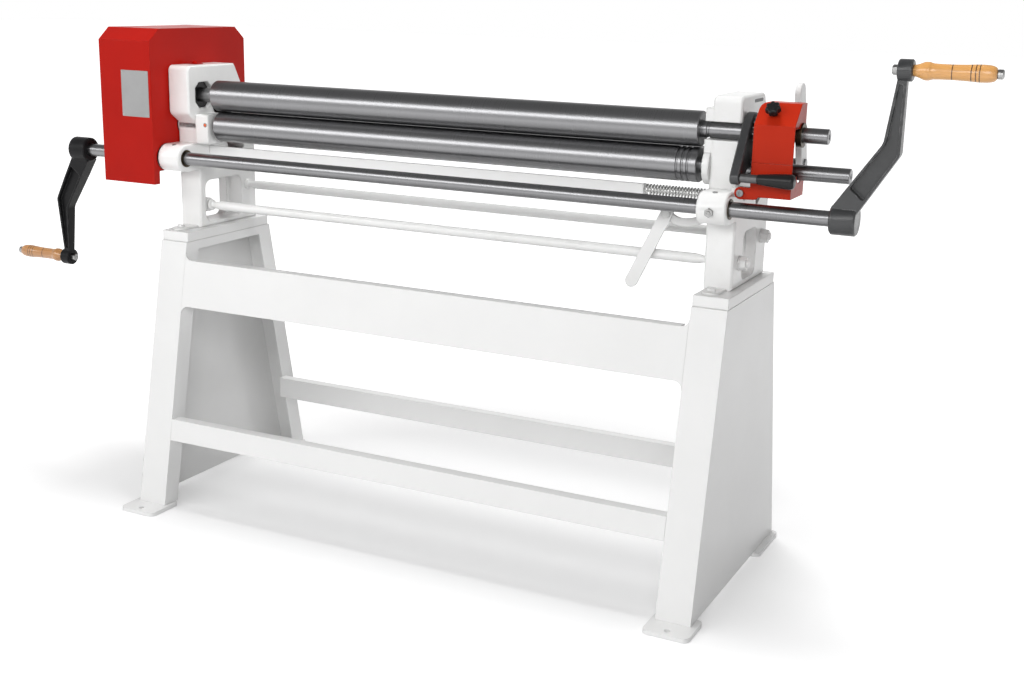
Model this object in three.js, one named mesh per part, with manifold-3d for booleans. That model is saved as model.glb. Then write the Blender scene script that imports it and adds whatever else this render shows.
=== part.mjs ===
// Hand-cranked slip roll machine: three long rolls between two cast end frames on a sheet steel stand.
// Millimetres. X runs along the rolls, Y points to the rear, Z up. X = 0 is the middle of the rolls,
// Y = 0 is the axis of the top roll and Z = 0 is the floor, until the last lines move the origin.
import * as THREE from "three";
import { mergeVertices } from "three/addons/utils/BufferGeometryUtils.js";
import Module from "manifold-3d";

// Clearances
const seatGap = 0.3; // between pieces that are bolted or seated together
const runningGap = 0.5; // radial gap of a turning or sliding fit
const wideGap = 1; // a loose fit

// Rolls
const rollDiameter = 75;
const rollLength = 1270;
const rollGap = 1; // between the two pinch rolls
const topRollHeight = 1031;
const lowerRollSetback = 8; // the lower roll is this much shorter at its left end
const journalDiameter = 36;
const stubDiameter = 32;
const stubCentreHole = 10;
const stubHoleDepth = 14;
const wireGrooveDepth = 3; // the three wire grooves at the right of the lower roll
const wireGroovePitch = 12;
const wireGrooveInset = 20; // from the roll's right end to the last groove
const spigotDiameter = 24; // the lower roll's right stub is fitted in the end of the roll
const spigotLength = 30;
const rollChamfer = 2;
const stubChamfer = 1.5;
const neckInset = 12; // a shallow neck beside the top roll's right end
const neckWidth = 6;
const neckDepth = 2;
const rollRadius = rollDiameter / 2;
const rollEnd = rollLength / 2;
const lowerRollZ = topRollHeight - rollDiameter - rollGap;
const spigotRadius = spigotDiameter / 2;
const spigotEnd = rollEnd - spigotLength;

// End frames along the rolls, and what stands out beside them
const frameThickness = 64;
const rightFrameX = rollEnd + 28; // inner face
const leftFrameX = -rollEnd - 46;
const rightFrameOuter = rightFrameX + frameThickness;
const leftFrameOuter = leftFrameX - frameThickness;
const topStubEnd = rightFrameOuter + 175; // free end of the top roll's right stub
const lowerStubEnd = rightFrameOuter + 225;

// Stand
const standTop = 696;
const standHalfLength = rightFrameOuter + 18;
const standFront = -101; // Y of the front face at the top
const standRear = 234;
const frontSpread = 129; // how far the front face comes forward down to the floor
const rearSpread = 151;
const capHeight = 25;
const capPlate = 6;
const sheet = 4;
const flangeWidth = 80;
const lipWidth = 50;
const topLip = 22;
const apronBottom = 514;
const apronTop = 628;
const apronCorner = 18;
const apronFlange = 30;
const frontStretcherBottom = 177;
const frontStretcherTop = 230;
const rearStretcherBottom = 169;
const rearStretcherTop = 225;
const stretcherFlange = 28;
const rearStretcherInset = 62; // from the rear face of the leg to the face of the rear stretcher
const footThickness = 10;
const footInner = standHalfLength - 90;
const footOuter = standHalfLength + 15;
const frontFootReach = 57; // in front of the leg's front face at the floor
const rearFootReach = 3;
const frontFootDepth = 102;
const rearFootDepth = 165;
const footHole = 14;
const footHoleInset = 20;
const footCorner = 14;

// End frames
const headHeight = topRollHeight - standTop; // from the stand to the top roll's axis
const frameFront = -30;
const leftFrameFront = -25;
const leftHeadFront = -58;
const frameRear = 207;
const frameTop = topRollHeight + 73;
const headRear = 128; // where the top face ends at the rear
const shoulderHeight = topRollHeight - 69; // where the sloped rear edge meets the upright one
const headBottom = topRollHeight - 45; // underside of the left head
const neckHeight = topRollHeight - 69;
const frameRound = 9;
const frameBevel = 4;
const toeRadius = 20; // lug at the casting's foot, with its bolt
const toeY = -70;
const boltY = toeY + 4;
const toeHeight = 5;
const boltRadius = 5;
const boltAcross = 17;
const boltHead = 6;
const boltLength = 24;
const windowFront = 34;
const windowRear = 131;
const windowTop = standTop + headHeight * 0.355;
const windowBottom = standTop + 12;
const windowRound = 20;
const webThickness = 24;
const frontRib = 20; // depth of the front rib beside the window
const rearRib = 12;
const slotHeight = 38;
const swivelOpening = 64; // eight-sided, for the top roll's swivel bearing
const swivelX = leftFrameX - frameThickness / 2;
const swivelPinRadius = 7;
const swivelPinDepth = 12;
const swivelLength = 46;
const swivelWidth = 50;
const swivelChamfer = 12;
const padThickness = 15;
const padHeight = 28;
const padDepth = 52;
const sleeveWall = 7; // of the lower roll's bearing sleeves
const guideSlotWidth = 56;
const guideSlotLow = 84; // along the slot, below the rear roll's lowest place
const guideSlotHigh = 84;

// Drive
const shaftDiameter = 32;
const shaftY = -74;
const shaftZ = lowerRollZ - 77.4;
const bossRadius = 34;
const bushRadius = 21;
const bushProud = 1.5;
const pinionTeeth = 12;
const wheelTeeth = 36;
const driveWheelWidth = 22;
const wheelRim = 14; // below the wheel's pitch line
const wheelRecess = 6;
const driveWheelX = leftFrameOuter - 67; // left face
const pinionWidth = 30;
const pinionX = leftFrameOuter - 71; // left face
const toothBacklash = 0.16; // share of the tooth left out
const toothRoot = 1.2; // of the module, below the pitch line
const toothTip = 0.95;
const pressureAngle = 20;
const dogDepth = 3.5; // short of the wheel beside the pinion
const dogWidth = 12;
const collarLength = 22;
const collarRadius = 28;
const grooveRadius = 21;
const grooveWidth = 7.2;

// Cranks
const rightHubX = rightFrameOuter + 235;
const leftHubX = leftFrameOuter - 273;
const crankLean = 5; // degrees from upright
const hubRadius = 31;
const hubLength = 52;
const crankReach = 299;
const crankOffset = 95;
const crankBend = 148; // from the shaft's axis to the bend
const crankRootWidth = 42;
const crankBendWidth = 33;
const crankEndWidth = 16;
const crankRootDepth = 34;
const crankEndDepth = 17;
const crankRim = 5;
const crankWeb = 8;
const crankEyeRadius = 21;
const crankEyeLength = 28;
const pinHeadAcross = 17;
const pinHeadLength = 11;
const handlePinRadius = 5;
const handleLength = 150;
const handleRadius = 17.5;
// The grip swells beside the eye and again towards its end, as [share of the length, share of the radius].
const gripShape = [[0, 0.64], [0.06, 0.74], [0.13, 0.98], [0.17, 1], [0.25, 0.86], [0.45, 0.84],
  [0.62, 0.88], [0.78, 0.95], [0.9, 0.93], [0.97, 0.8], [1, 0.58]];
const handleTipLength = 12;
const handleTipRadius = 9.5;

// Roll locking arm
const armThickness = 19;
const armHubRadius = 41;
const armForward = 90; // of the handle pin in front of the top roll's axis
const armDrop = 85;
const armEndRadius = 14;
const armHandleLength = 76;
const armHandleRadius = 15.5;
const armHandleCap = 5; // solid end of the handle, past its pin
const armHandleShape = [[0, 0.62], [0.05, 0.7], [0.5, 0.92], [0.85, 1], [0.96, 0.88], [1, 0.6]];
const armSpacerLength = 36;
const armSpacerRadius = 9;
const armGap = 2.5; // from the right frame

// Right gears and their hood
const rollGearTeeth = 20;
const rollGearWidth = 24;
const rollGearX = rightFrameOuter + 25.5;
const hoodLeft = rightFrameOuter + 34;
const hoodRight = hoodLeft + 85;
const hoodFront = -58;
const hoodRear = 24;
const hoodTop = topRollHeight + 64;
const hoodSeam = topRollHeight - 56;
const hoodFacetLow = hoodTop - 43;
const hoodFacetDepth = 43;
const hoodSideBottom = hoodTop - 49;
const hoodSheet = 2.5;
const hoodCorner = 14;
const hoodBushRadius = 25;
const hoodBushLength = 12;
const lowerGuardRear = 38;
const lowerGuardBottom = lowerRollZ - 50;
const guardLugX = rightFrameOuter + 14;
const guardLugRadius = 13;
const guardBoltRadius = 4;
const guardBoltHead = 7.5;
const guardLugHeight = lowerGuardBottom + 6;
const knobRadius = 16;
const knobX = hoodLeft + 34;
const knobLobes = 7;
const knobHeight = 16;
const knobStem = 7;
const knobStemRadius = 4;
const knobNeckRadius = 8;

// Left guard
const leftGuardRight = leftFrameOuter - 1;
const leftGuardLeft = leftGuardRight - 160;
const leftGuardFront = -120;
const leftGuardRear = 255;
const leftGuardTop = topRollHeight + 161;
const leftGuardBottom = topRollHeight - 219;
const guardChamferHeight = 30;
const guardChamferDepth = 37;
const guardSheet = 2;
const guardLip = 20;

// Tie rods
const frontTieY = 14;
const frontTieZ = standTop + headHeight * 0.164;
const rearTieY = 168;
const rearTieZ = standTop + headHeight * 0.272;
const guardPlateBottom = rearTieZ + 59; // the left guard's inner plate stays above the rear tie's nut
const tieRadius = 11.5;
const tieThread = 8;
const tieLug = 18;
const nutAcross = 26;
const nutHeight = 14;
const washerRadius = 16;
const washerThickness = 3;

// Shift rail, its lever and its spring
const railY = 20;
const railZ = topRollHeight - 142;
const railHeight = 26;
const railThickness = 8;
const railRightEnd = rightFrameX - 162;
const leverPivotX = rightFrameX - 98;
const leverPivotZ = railZ - 43.5;
const leverLean = 25.5; // degrees from upright
const leverReach = 188;
const leverPinReach = 22;
const leverWidth = 29;
const leverThickness = 6;
const leverY = -5; // middle of the lever's thickness
const leverPinRadius = 3;
const pivotPinRadius = 6;
const bracketWidth = 18;
const forkThickness = 6;
const springRadius = 12; // of the wire's centre line
const springWire = 3.6;
const springPitch = 7.3;
const springRodRadius = 5;
const springCollar = 3; // thickness of the collar that the spring pushes on

// Rear roll and its lift
const rearRollY = 95;
const rearRollZ = lowerRollZ - 8;
const liftTilt = 30; // degrees of the lift's path forward of upright
const liftTravel = 50;
const slideHeight = 64;
const slideChamferRise = 16.3;
const rearJournal = 32;
const liftArmLength = rollRadius + 16.5;
const liftArmWidth = 12;
const liftArmThickness = 16;
const liftNoseRadius = 9;
const liftNoseGap = 0.6; // under the slide, so the round nose stays below it all the way up
const liftHubRadius = 16;
const liftShaftRadius = 10;
const liftShaftEnd = rightFrameOuter + 95;
const liftLeverLength = 163;
const liftLeverWidth = 38;
const liftLeverThickness = 14;
const liftLeverLean = 18; // degrees forward of upright

// Places worked out from the sizes above
const journalRadius = journalDiameter / 2;
const stubRadius = stubDiameter / 2;
const shaftRadius = shaftDiameter / 2;
const deg = Math.PI / 180;

// Sides of round pieces
const fineSides = 24; // rolls
const roundSides = 20;
const handleSides = 16;
const smallSides = 12; // bolts, pins and their holes

const wasm = await Module();
wasm.setup();

const paint = { color: 0xe9e8e4, roughness: 0.42, metalness: 0 };
const red = { color: 0xb52a22, roughness: 0.38, metalness: 0 };
const steel = { color: 0xb4b5b6, roughness: 0.28, metalness: 1 };
const castDark = { color: 0x2c2d2f, roughness: 0.55, metalness: 0.2 };
const plastic = { color: 0x17181a, roughness: 0.4, metalness: 0 };
const wood = { color: 0xc98a45, roughness: 0.45, metalness: 0 };
const bronze = { color: 0x9a7038, roughness: 0.35, metalness: 1 };
const zinc = { color: 0xc2c4c6, roughness: 0.35, metalness: 1 };

const group = new THREE.Group();

// A closed geometry as a solid, with its seams welded and its faces turned outwards.
function solid(geometry) {
  const bare = new THREE.BufferGeometry();
  bare.setAttribute("position", geometry.getAttribute("position"));
  if (geometry.index) bare.setIndex(geometry.index);
  const welded = mergeVertices(bare, 1e-4);
  const at = welded.attributes.position;
  const corner = [0, 1, 2].map(() => new THREE.Vector3());
  const faces = [];
  let volume = 0;
  for (let i = 0; i < welded.index.count; i += 3) {
    const [a, b, c] = [0, 1, 2].map((k) => welded.index.getX(i + k));
    if (a === b || b === c || c === a) continue;
    faces.push([a, b, c]);
    [a, b, c].forEach((v, k) => corner[k].fromBufferAttribute(at, v));
    volume += corner[0].dot(corner[1].clone().cross(corner[2]));
  }
  const triVerts = new Uint32Array(faces.flatMap(([a, b, c]) => (volume < 0 ? [a, c, b] : [a, b, c])));
  return new wasm.Manifold(new wasm.Mesh({ numProp: 3, vertProperties: at.array, triVerts }));
}

// How an outline's two directions and its depth lie in space, for an extrusion along each axis.
const basis = {
  x: new THREE.Matrix4().set(0, 0, 1, 0, 1, 0, 0, 0, 0, 1, 0, 0, 0, 0, 0, 1),
  y: new THREE.Matrix4().set(1, 0, 0, 0, 0, 0, -1, 0, 0, 1, 0, 0, 0, 0, 0, 1),
  z: new THREE.Matrix4(),
};

// An outline extruded along an axis: (y, z) along x, (x, z) along y, (x, y) along z.
function prism(axis, points, from, to, options = {}) {
  const shape = new THREE.Shape(points);
  (options.holes ?? []).forEach((hole) => shape.holes.push(new THREE.Path(hole)));
  const bevel = options.bevel ?? 0;
  const geometry = new THREE.ExtrudeGeometry(shape, {
    depth: to - from - 2 * bevel,
    bevelEnabled: bevel > 0,
    bevelThickness: bevel,
    bevelSize: bevel,
    bevelOffset: -bevel,
    bevelSegments: 1,
  });
  geometry.translate(0, 0, (axis === "y" ? -to : from) + bevel);
  geometry.applyMatrix4(basis[axis]);
  return solid(geometry);
}

function box(x0, x1, y0, y1, z0, z1) {
  const geometry = new THREE.BoxGeometry(x1 - x0, y1 - y0, z1 - z0);
  geometry.translate((x0 + x1) / 2, (y0 + y1) / 2, (z0 + z1) / 2);
  return solid(geometry);
}

function circle(u, v, radius, sides = roundSides, phase = Math.PI / sides) {
  return Array.from({ length: sides }, (_, i) => {
    const angle = phase + (2 * Math.PI * i) / sides;
    return new THREE.Vector2(u + radius * Math.cos(angle), v + radius * Math.sin(angle));
  });
}

function rod(axis, u, v, radius, from, to, sides = roundSides) {
  return prism(axis, circle(u, v, radius, sides), from, to);
}

// An outline from corners [u, v, radius], with an arc at each corner that has a radius.
function rounded(corners, step = 30 * deg) {
  return corners.flatMap(([u, v, radius = 0], i) => {
    const corner = new THREE.Vector2(u, v);
    if (!radius) return [corner];
    const before = new THREE.Vector2(...corners.at(i - 1).slice(0, 2)).sub(corner).normalize();
    const next = corners[(i + 1) % corners.length];
    const after = new THREE.Vector2(next[0], next[1]).sub(corner).normalize();
    const half = Math.acos(THREE.MathUtils.clamp(before.dot(after), -1, 1)) / 2;
    const middle = before.clone().add(after).normalize().multiplyScalar(radius / Math.sin(half));
    const centre = corner.clone().add(middle);
    const start = before.multiplyScalar(radius / Math.tan(half)).add(corner).sub(centre).angle();
    const end = after.multiplyScalar(radius / Math.tan(half)).add(corner).sub(centre).angle();
    const sweep = THREE.MathUtils.euclideanModulo(end - start + Math.PI, 2 * Math.PI) - Math.PI;
    const steps = Math.max(1, Math.ceil(Math.abs(sweep) / step));
    return Array.from({ length: steps + 1 }, (_, k) => {
      const angle = start + (sweep * k) / steps;
      return new THREE.Vector2(Math.cos(angle), Math.sin(angle)).multiplyScalar(radius).add(centre);
    });
  });
}

function rectangle(u0, u1, v0, v1, radius = 0, step = 30 * deg) {
  return rounded([[u0, v0, radius], [u1, v0, radius], [u1, v1, radius], [u0, v1, radius]], step);
}

// The outline of a bar between two round ends.
function link(u0, v0, r0, u1, v1, r1, steps = 8) {
  const along = Math.atan2(v1 - v0, u1 - u0);
  const tilt = Math.acos((r0 - r1) / Math.hypot(u1 - u0, v1 - v0));
  const arc = (u, v, r, from, to) =>
    Array.from({ length: steps + 1 }, (_, i) => {
      const angle = along + from + ((to - from) * i) / steps;
      return new THREE.Vector2(u + r * Math.cos(angle), v + r * Math.sin(angle));
    });
  return [...arc(u1, v1, r1, -tilt, tilt), ...arc(u0, v0, r0, tilt, 2 * Math.PI - tilt)];
}

// A profile [radius, place] turned about a line along X.
function turned(profile, y, z, sides = roundSides) {
  const geometry = new THREE.LatheGeometry(profile.map(([r, x]) => new THREE.Vector2(r, x)), sides);
  geometry.applyMatrix4(
    new THREE.Matrix4().makeBasis(
      new THREE.Vector3(0, 0, 1),
      new THREE.Vector3(1, 0, 0),
      new THREE.Vector3(0, 1, 0),
    ),
  );
  geometry.translate(0, y, z);
  return solid(geometry);
}

function ring(u, v, inner, outer, from, to, axis = "x", sides = roundSides) {
  return prism(axis, circle(u, v, outer, sides), from, to, { holes: [circle(u, v, inner, sides)] });
}

// A hexagon across flats, for nuts and bolt heads.
function hexagon(axis, u, v, across, from, to) {
  return prism(axis, circle(u, v, across / 2 / Math.cos(30 * deg), 6), from, to);
}

function join(...pieces) {
  return pieces.reduce((whole, piece) => whole.add(piece));
}

function transformed(piece, matrix) {
  const mesh = piece.getMesh();
  const geometry = new THREE.BufferGeometry();
  geometry.setAttribute("position", new THREE.BufferAttribute(mesh.vertProperties, 3));
  geometry.setIndex(new THREE.BufferAttribute(mesh.triVerts, 1));
  geometry.applyMatrix4(matrix);
  return solid(geometry);
}

// Turned about a line along X through a point.
function turnedAbout(point, degrees, piece) {
  const turn = new THREE.Matrix4().makeRotationX(degrees * deg);
  const there = new THREE.Matrix4().makeTranslation(...point);
  const back = new THREE.Matrix4().makeTranslation(...point.map((value) => -value));
  return transformed(piece, there.multiply(turn).multiply(back));
}

function mirroredInX(piece) {
  return transformed(piece, new THREE.Matrix4().makeScale(-1, 1, 1));
}

// Adds a sub-part to the machine.
function add(name, piece, look) {
  const mesh = piece.getMesh();
  const geometry = new THREE.BufferGeometry();
  geometry.setAttribute("position", new THREE.BufferAttribute(mesh.vertProperties, 3));
  geometry.setIndex(new THREE.BufferAttribute(mesh.triVerts, 1));
  geometry.computeVertexNormals();
  const part = new THREE.Mesh(geometry, new THREE.MeshStandardMaterial(look));
  part.name = name;
  group.add(part);
}

// Stand: the front and rear faces lean, so their pieces are drawn upright and sheared into place.
const frontAt = (z) => standFront - frontSpread * (1 - z / standTop);
const rearAt = (z) => standRear + rearSpread * (1 - z / standTop);

function leaned(piece, spread) {
  const lean = new THREE.Matrix4().makeShear(0, 0, 0, 0, 0, 0);
  lean.elements[9] = spread / standTop;
  lean.elements[13] = -spread;
  return transformed(piece, lean);
}

// A leg: its side plate, front and rear walls with their lips, and the lip and roof at the top.
function leg() {
  const top = standTop - capHeight;
  const inner = standHalfLength - flangeWidth;
  const wall = (bottom, front, rear, x0, x1) => {
    const corners = [[front(bottom), bottom], [rear(bottom), bottom], [rear(top), top], [front(top), top]];
    return prism("x", corners.map(([y, z]) => new THREE.Vector2(y, z)), x0, x1);
  };
  const inset = (edge, by) => (z) => edge(z) + by;
  return join(
    wall(footThickness, frontAt, rearAt, standHalfLength - sheet, standHalfLength),
    wall(footThickness, frontAt, inset(frontAt, sheet), inner, standHalfLength),
    wall(footThickness, inset(rearAt, -sheet), rearAt, inner, standHalfLength),
    wall(footThickness, frontAt, inset(frontAt, lipWidth), inner, inner + sheet),
    wall(footThickness, inset(rearAt, -lipWidth), rearAt, inner, inner + sheet),
    wall(top - topLip, frontAt, rearAt, inner, inner + sheet),
    wall(top - sheet, frontAt, rearAt, inner, standHalfLength),
  );
}

// The top plate of a leg, for the casting whose inner face is at frameX.
function cap(frameX) {
  const inner = standHalfLength - flangeWidth;
  const outer = rectangle(standFront, standRear, standTop - capHeight, standTop, 2);
  const shell = prism("x", outer, inner, standHalfLength, { bevel: 1.5 });
  const hollow = box(
    inner + sheet,
    standHalfLength - sheet,
    standFront + sheet,
    standRear - sheet,
    standTop - capHeight - sheet,
    standTop - capPlate,
  );
  const boltX = Math.abs(frameX) + frameThickness / 2;
  const boltHole = rod("z", boltX, boltY, boltRadius + seatGap, standTop - capHeight, standTop + 1,
    smallSides);
  return shell.subtract(hollow).subtract(boltHole);
}

// A folded channel between the legs, with its flanges turned to the rear of its face.
function channel(halfLength, y, depth, bottom, top) {
  const back = y + depth;
  const faceSheet = box(-halfLength, halfLength, y, y + sheet, bottom, top);
  const low = box(-halfLength, halfLength, y, back, bottom, bottom + sheet);
  const high = box(-halfLength, halfLength, y, back, top - sheet, top);
  return join(faceSheet, low, high);
}

// The apron's face flares into the legs with a round corner above and below.
function apron() {
  const end = standHalfLength - flangeWidth - seatGap;
  const flare = end - apronCorner;
  const corner = (side, z, up) =>
    Array.from({ length: 5 }, (_, i) => {
      const angle = (i / 4) * 90 * deg;
      const rise = apronCorner * (1 - Math.cos(angle));
      return new THREE.Vector2(side * (flare + apronCorner * Math.sin(angle)), z + up * rise);
    });
  const outline = [
    ...corner(1, apronTop, 1),
    ...corner(1, apronBottom, -1).reverse(),
    ...corner(-1, apronBottom, -1),
    ...corner(-1, apronTop, 1).reverse(),
  ];
  const face = prism("y", outline, standFront, standFront + sheet);
  return leaned(face.add(channel(flare, standFront, apronFlange, apronBottom, apronTop)), frontSpread);
}

function footPlate(front) {
  const depth = front ? frontFootDepth : rearFootDepth;
  const y0 = front ? frontAt(0) - frontFootReach : rearAt(0) + rearFootReach - depth;
  const outline = rectangle(footInner, footOuter, y0, y0 + depth, footCorner);
  const hole = circle((footInner + footOuter) / 2, y0 + footHoleInset, footHole / 2, smallSides);
  return prism("z", outline, 0, footThickness, { holes: [hole] });
}

function buildStand() {
  const channelEnd = standHalfLength - flangeWidth - seatGap;
  const rearFace = rearAt(rearStretcherTop) - rearStretcherInset;
  [["right", (piece) => piece], ["left", mirroredInX]].forEach(([side, place], i) => {
    add(side + "_leg", place(leg()), paint);
    add(side + "_top_cap", place(cap([rightFrameX, leftFrameX][i])), paint);
    add(side + "_front_foot", place(footPlate(true)), paint);
    add(side + "_rear_foot", place(footPlate(false)), paint);
  });
  add("apron", apron(), paint);
  const front = channel(channelEnd, standFront, stretcherFlange, frontStretcherBottom, frontStretcherTop);
  add("front_stretcher", leaned(front, frontSpread), paint);
  const rear = channel(channelEnd, rearFace, stretcherFlange, rearStretcherBottom, rearStretcherTop);
  add("rear_stretcher", rear, paint);
}

// The lift's path, as places along it and across it from the rear roll's lowest place.
const liftUp = new THREE.Vector2(-Math.sin(liftTilt * deg), Math.cos(liftTilt * deg));
const liftAcross = new THREE.Vector2(Math.cos(liftTilt * deg), Math.sin(liftTilt * deg));

function onLift(across, up) {
  const base = new THREE.Vector2(rearRollY, rearRollZ);
  return base.addScaledVector(liftAcross, across).addScaledVector(liftUp, up);
}

const liftAngle = Math.asin(liftTravel / 2 / liftArmLength); // the arm starts this far below level
const liftNoseUp = -slideHeight / 2 - liftNoseGap - liftNoseRadius;
const liftShaft = onLift(liftArmLength * Math.cos(liftAngle), liftNoseUp + liftTravel / 2);

function guideSlot(half, x0, x1) {
  const corners = [[-half, -guideSlotLow], [half, -guideSlotLow], [half, guideSlotHigh],
    [-half, guideSlotHigh]];
  const outline = rounded(corners.map(([across, up]) => [...onLift(across, up).toArray(), 6]));
  return prism("x", outline, x0, x1);
}

// The side view of an end frame, from its foot up the front, over the head and down the rear.
function frameOutline(front, head) {
  const neck = head < front ? [[head, headBottom, frameRound + 5], [front, neckHeight, frameRound]] : [];
  return rounded([
    [frameRear, standTop],
    [front, standTop],
    ...neck.reverse(),
    [head, frameTop, frameRound + 5],
    [headRear, frameTop, frameRound],
    [frameRear, shoulderHeight, frameRound + 5],
  ]);
}

// The boss of the drive shaft, run back into the frame's front edge.
function boss(x0, x1) {
  const outline = [
    ...Array.from({ length: 11 }, (_, i) => {
      const angle = (90 + 18 * i) * deg;
      const [across, up] = [Math.cos(angle) * bossRadius, Math.sin(angle) * bossRadius];
      return new THREE.Vector2(shaftY + across, shaftZ + up);
    }),
    new THREE.Vector2(frameFront + 20, shaftZ - bossRadius),
    new THREE.Vector2(frameFront + 20, shaftZ + bossRadius),
  ];
  return prism("x", outline, x0, x1, { bevel: 3 });
}

// What both end frames share. inner and outer are the X of their faces.
function endFrame(inner, outer, front, head) {
  const [x0, x1] = [Math.min(inner, outer), Math.max(inner, outer)];
  const out = Math.sign(outer - inner);
  const webFace = outer - out * webThickness;
  const body = prism("x", frameOutline(front, head), x0, x1, { bevel: frameBevel });
  const opening = (y0, y1) => rectangle(y0, y1, windowBottom, windowTop, windowRound);
  const window = prism("x", opening(windowFront, windowRear), x0 - 1, x1 + 1);
  const pocketSpan = [inner - out, webFace].sort((a, b) => a - b);
  const pocket = prism("x", opening(front + frontRib, windowRear + rearRib), ...pocketSpan);
  const lug = rod("x", frontTieY, frontTieZ, tieLug, x0 + frameBevel, x1 - frameBevel);
  const middle = (x0 + x1) / 2;
  const toeOutline = link(middle, front + toeRadius, toeRadius, middle, toeY, toeRadius - 0.01);
  const toe = prism("z", toeOutline, standTop, standTop + toeHeight);
  let frame = body.add(boss(x0, x1)).subtract(window).subtract(pocket).add(lug).add(toe);
  frame = frame.subtract(rod("z", middle, boltY, boltRadius + seatGap, standTop - 1,
    standTop + toeHeight + 1, smallSides));
  frame = frame.subtract(rod("x", shaftY, shaftZ, bushRadius + seatGap, x0 - 1, x1 + 1));
  frame = frame.subtract(rod("x", 0, lowerRollZ, journalRadius + sleeveWall + seatGap, x0 - 1, x1 + 1));
  frame = frame.subtract(guideSlot(guideSlotWidth / 2, x0 - 1, x1 + 1));
  frame = frame.subtract(rod("x", liftShaft.x, liftShaft.y, liftShaftRadius + runningGap, x0 - 1, x1 + 1,
    smallSides));
  [[frontTieY, frontTieZ], [rearTieY, rearTieZ]].forEach(([y, z]) => {
    frame = frame.subtract(rod("x", y, z, tieThread + runningGap, x0 - 1, x1 + 1, smallSides));
  });
  const armRoom = liftArmThickness + 2 * wideGap + 3;
  const armSpan = [inner - out, inner - out + out * armRoom].sort((a, b) => a - b);
  const hubRoom = rod("x", liftShaft.x, liftShaft.y, liftHubRadius + 2 * wideGap, ...armSpan);
  return frame.subtract(hubRoom).subtract(prism("x", armSweep(), ...armSpan));
}

// The fan that a lift arm sweeps beside its shaft.
function armSweep() {
  const reach = liftArmLength + liftNoseRadius + 2 * wideGap;
  const spread = liftAngle + Math.asin((liftArmWidth / 2 + wideGap) / (liftHubRadius + 2 * wideGap));
  const arc = Array.from({ length: 9 }, (_, i) => {
    const angle = (180 + liftTilt) * deg + spread * (i / 4 - 1);
    return new THREE.Vector2(liftShaft.x + reach * Math.cos(angle), liftShaft.y + reach * Math.sin(angle));
  });
  return [liftShaft, ...arc];
}

function rightFrame() {
  const slotTop = topRollHeight + slotHeight / 2;
  const slotBottom = topRollHeight - slotHeight / 2;
  const slot = join(
    box(rightFrameX - 30, rightFrameOuter + 1, frameFront - 20, 0, slotBottom, slotTop),
    rod("x", 0, topRollHeight, slotHeight / 2, rightFrameX - 30, rightFrameOuter + 1),
  );
  const padX0 = rightFrameX - padThickness;
  const pad = (z0, z1) => box(padX0, rightFrameX + 5, frameFront + 2, frameFront + padDepth, z0, z1);
  const pads = join(pad(slotTop - 2, slotTop + padHeight), pad(slotBottom - padHeight, slotBottom + 2));
  const lugRear = frameFront + 6;
  const lugFront = hoodFront + hoodSheet + seatGap;
  const lug = box(rightFrameOuter - 6, guardLugX + guardLugRadius - 2, lugFront, lugRear,
    guardLugHeight - 10, guardLugHeight + 10);
  const boltHole = rod("y", guardLugX, guardLugHeight, guardBoltRadius + seatGap, hoodFront, lugRear - 8,
    smallSides);
  const railHole = rod("x", railY, railZ, springRodRadius + runningGap, rightFrameX - 20,
    rightFrameOuter + 1, smallSides);
  const frame = endFrame(rightFrameX, rightFrameOuter, frameFront, frameFront);
  return frame.add(pads).add(lug).subtract(slot).subtract(boltHole).subtract(railHole);
}

// The left frame has an eight-sided opening for the swivel bearing of the top roll.
function leftFrame() {
  const half = swivelOpening / 2;
  const cut = half * 0.45;
  const opening = [
    [-half, topRollHeight - half + cut], [-half + cut, topRollHeight - half],
    [half - cut, topRollHeight - half], [half, topRollHeight - half + cut],
    [half, topRollHeight + half - cut], [half - cut, topRollHeight + half],
    [-half + cut, topRollHeight + half], [-half, topRollHeight + half - cut],
  ].map(([y, z]) => new THREE.Vector2(y, z));
  const frame = endFrame(leftFrameX, leftFrameOuter, leftFrameFront, leftHeadFront);
  const pinReach = half + swivelPinDepth + wideGap;
  const pinHole = rod("z", swivelX, 0, swivelPinRadius + runningGap, topRollHeight - pinReach,
    topRollHeight + pinReach, smallSides);
  const [wide, high] = [railThickness / 2 + runningGap, railHeight / 2 + runningGap];
  const railHole = box(leftFrameOuter - 1, leftFrameX + 1, railY - wide, railY + wide, railZ - high,
    railZ + high);
  return frame
    .subtract(prism("x", opening, leftFrameOuter - 1, leftFrameX + 1))
    .subtract(pinHole)
    .subtract(railHole);
}

function swivelBearing() {
  const half = swivelOpening / 2 - wideGap;
  const outline = rectangle(-swivelWidth / 2, swivelWidth / 2, topRollHeight - half,
    topRollHeight + half, swivelChamfer, 90 * deg);
  const block = prism("x", outline, swivelX - swivelLength / 2, swivelX + swivelLength / 2);
  const pinReach = half + wideGap + swivelPinDepth;
  const pins = rod("z", swivelX, 0, swivelPinRadius, topRollHeight - pinReach, topRollHeight + pinReach,
    smallSides);
  const bore = rod("x", 0, topRollHeight, journalRadius + runningGap, swivelX - 60, swivelX + 60);
  return block.add(pins).subtract(bore);
}

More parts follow.
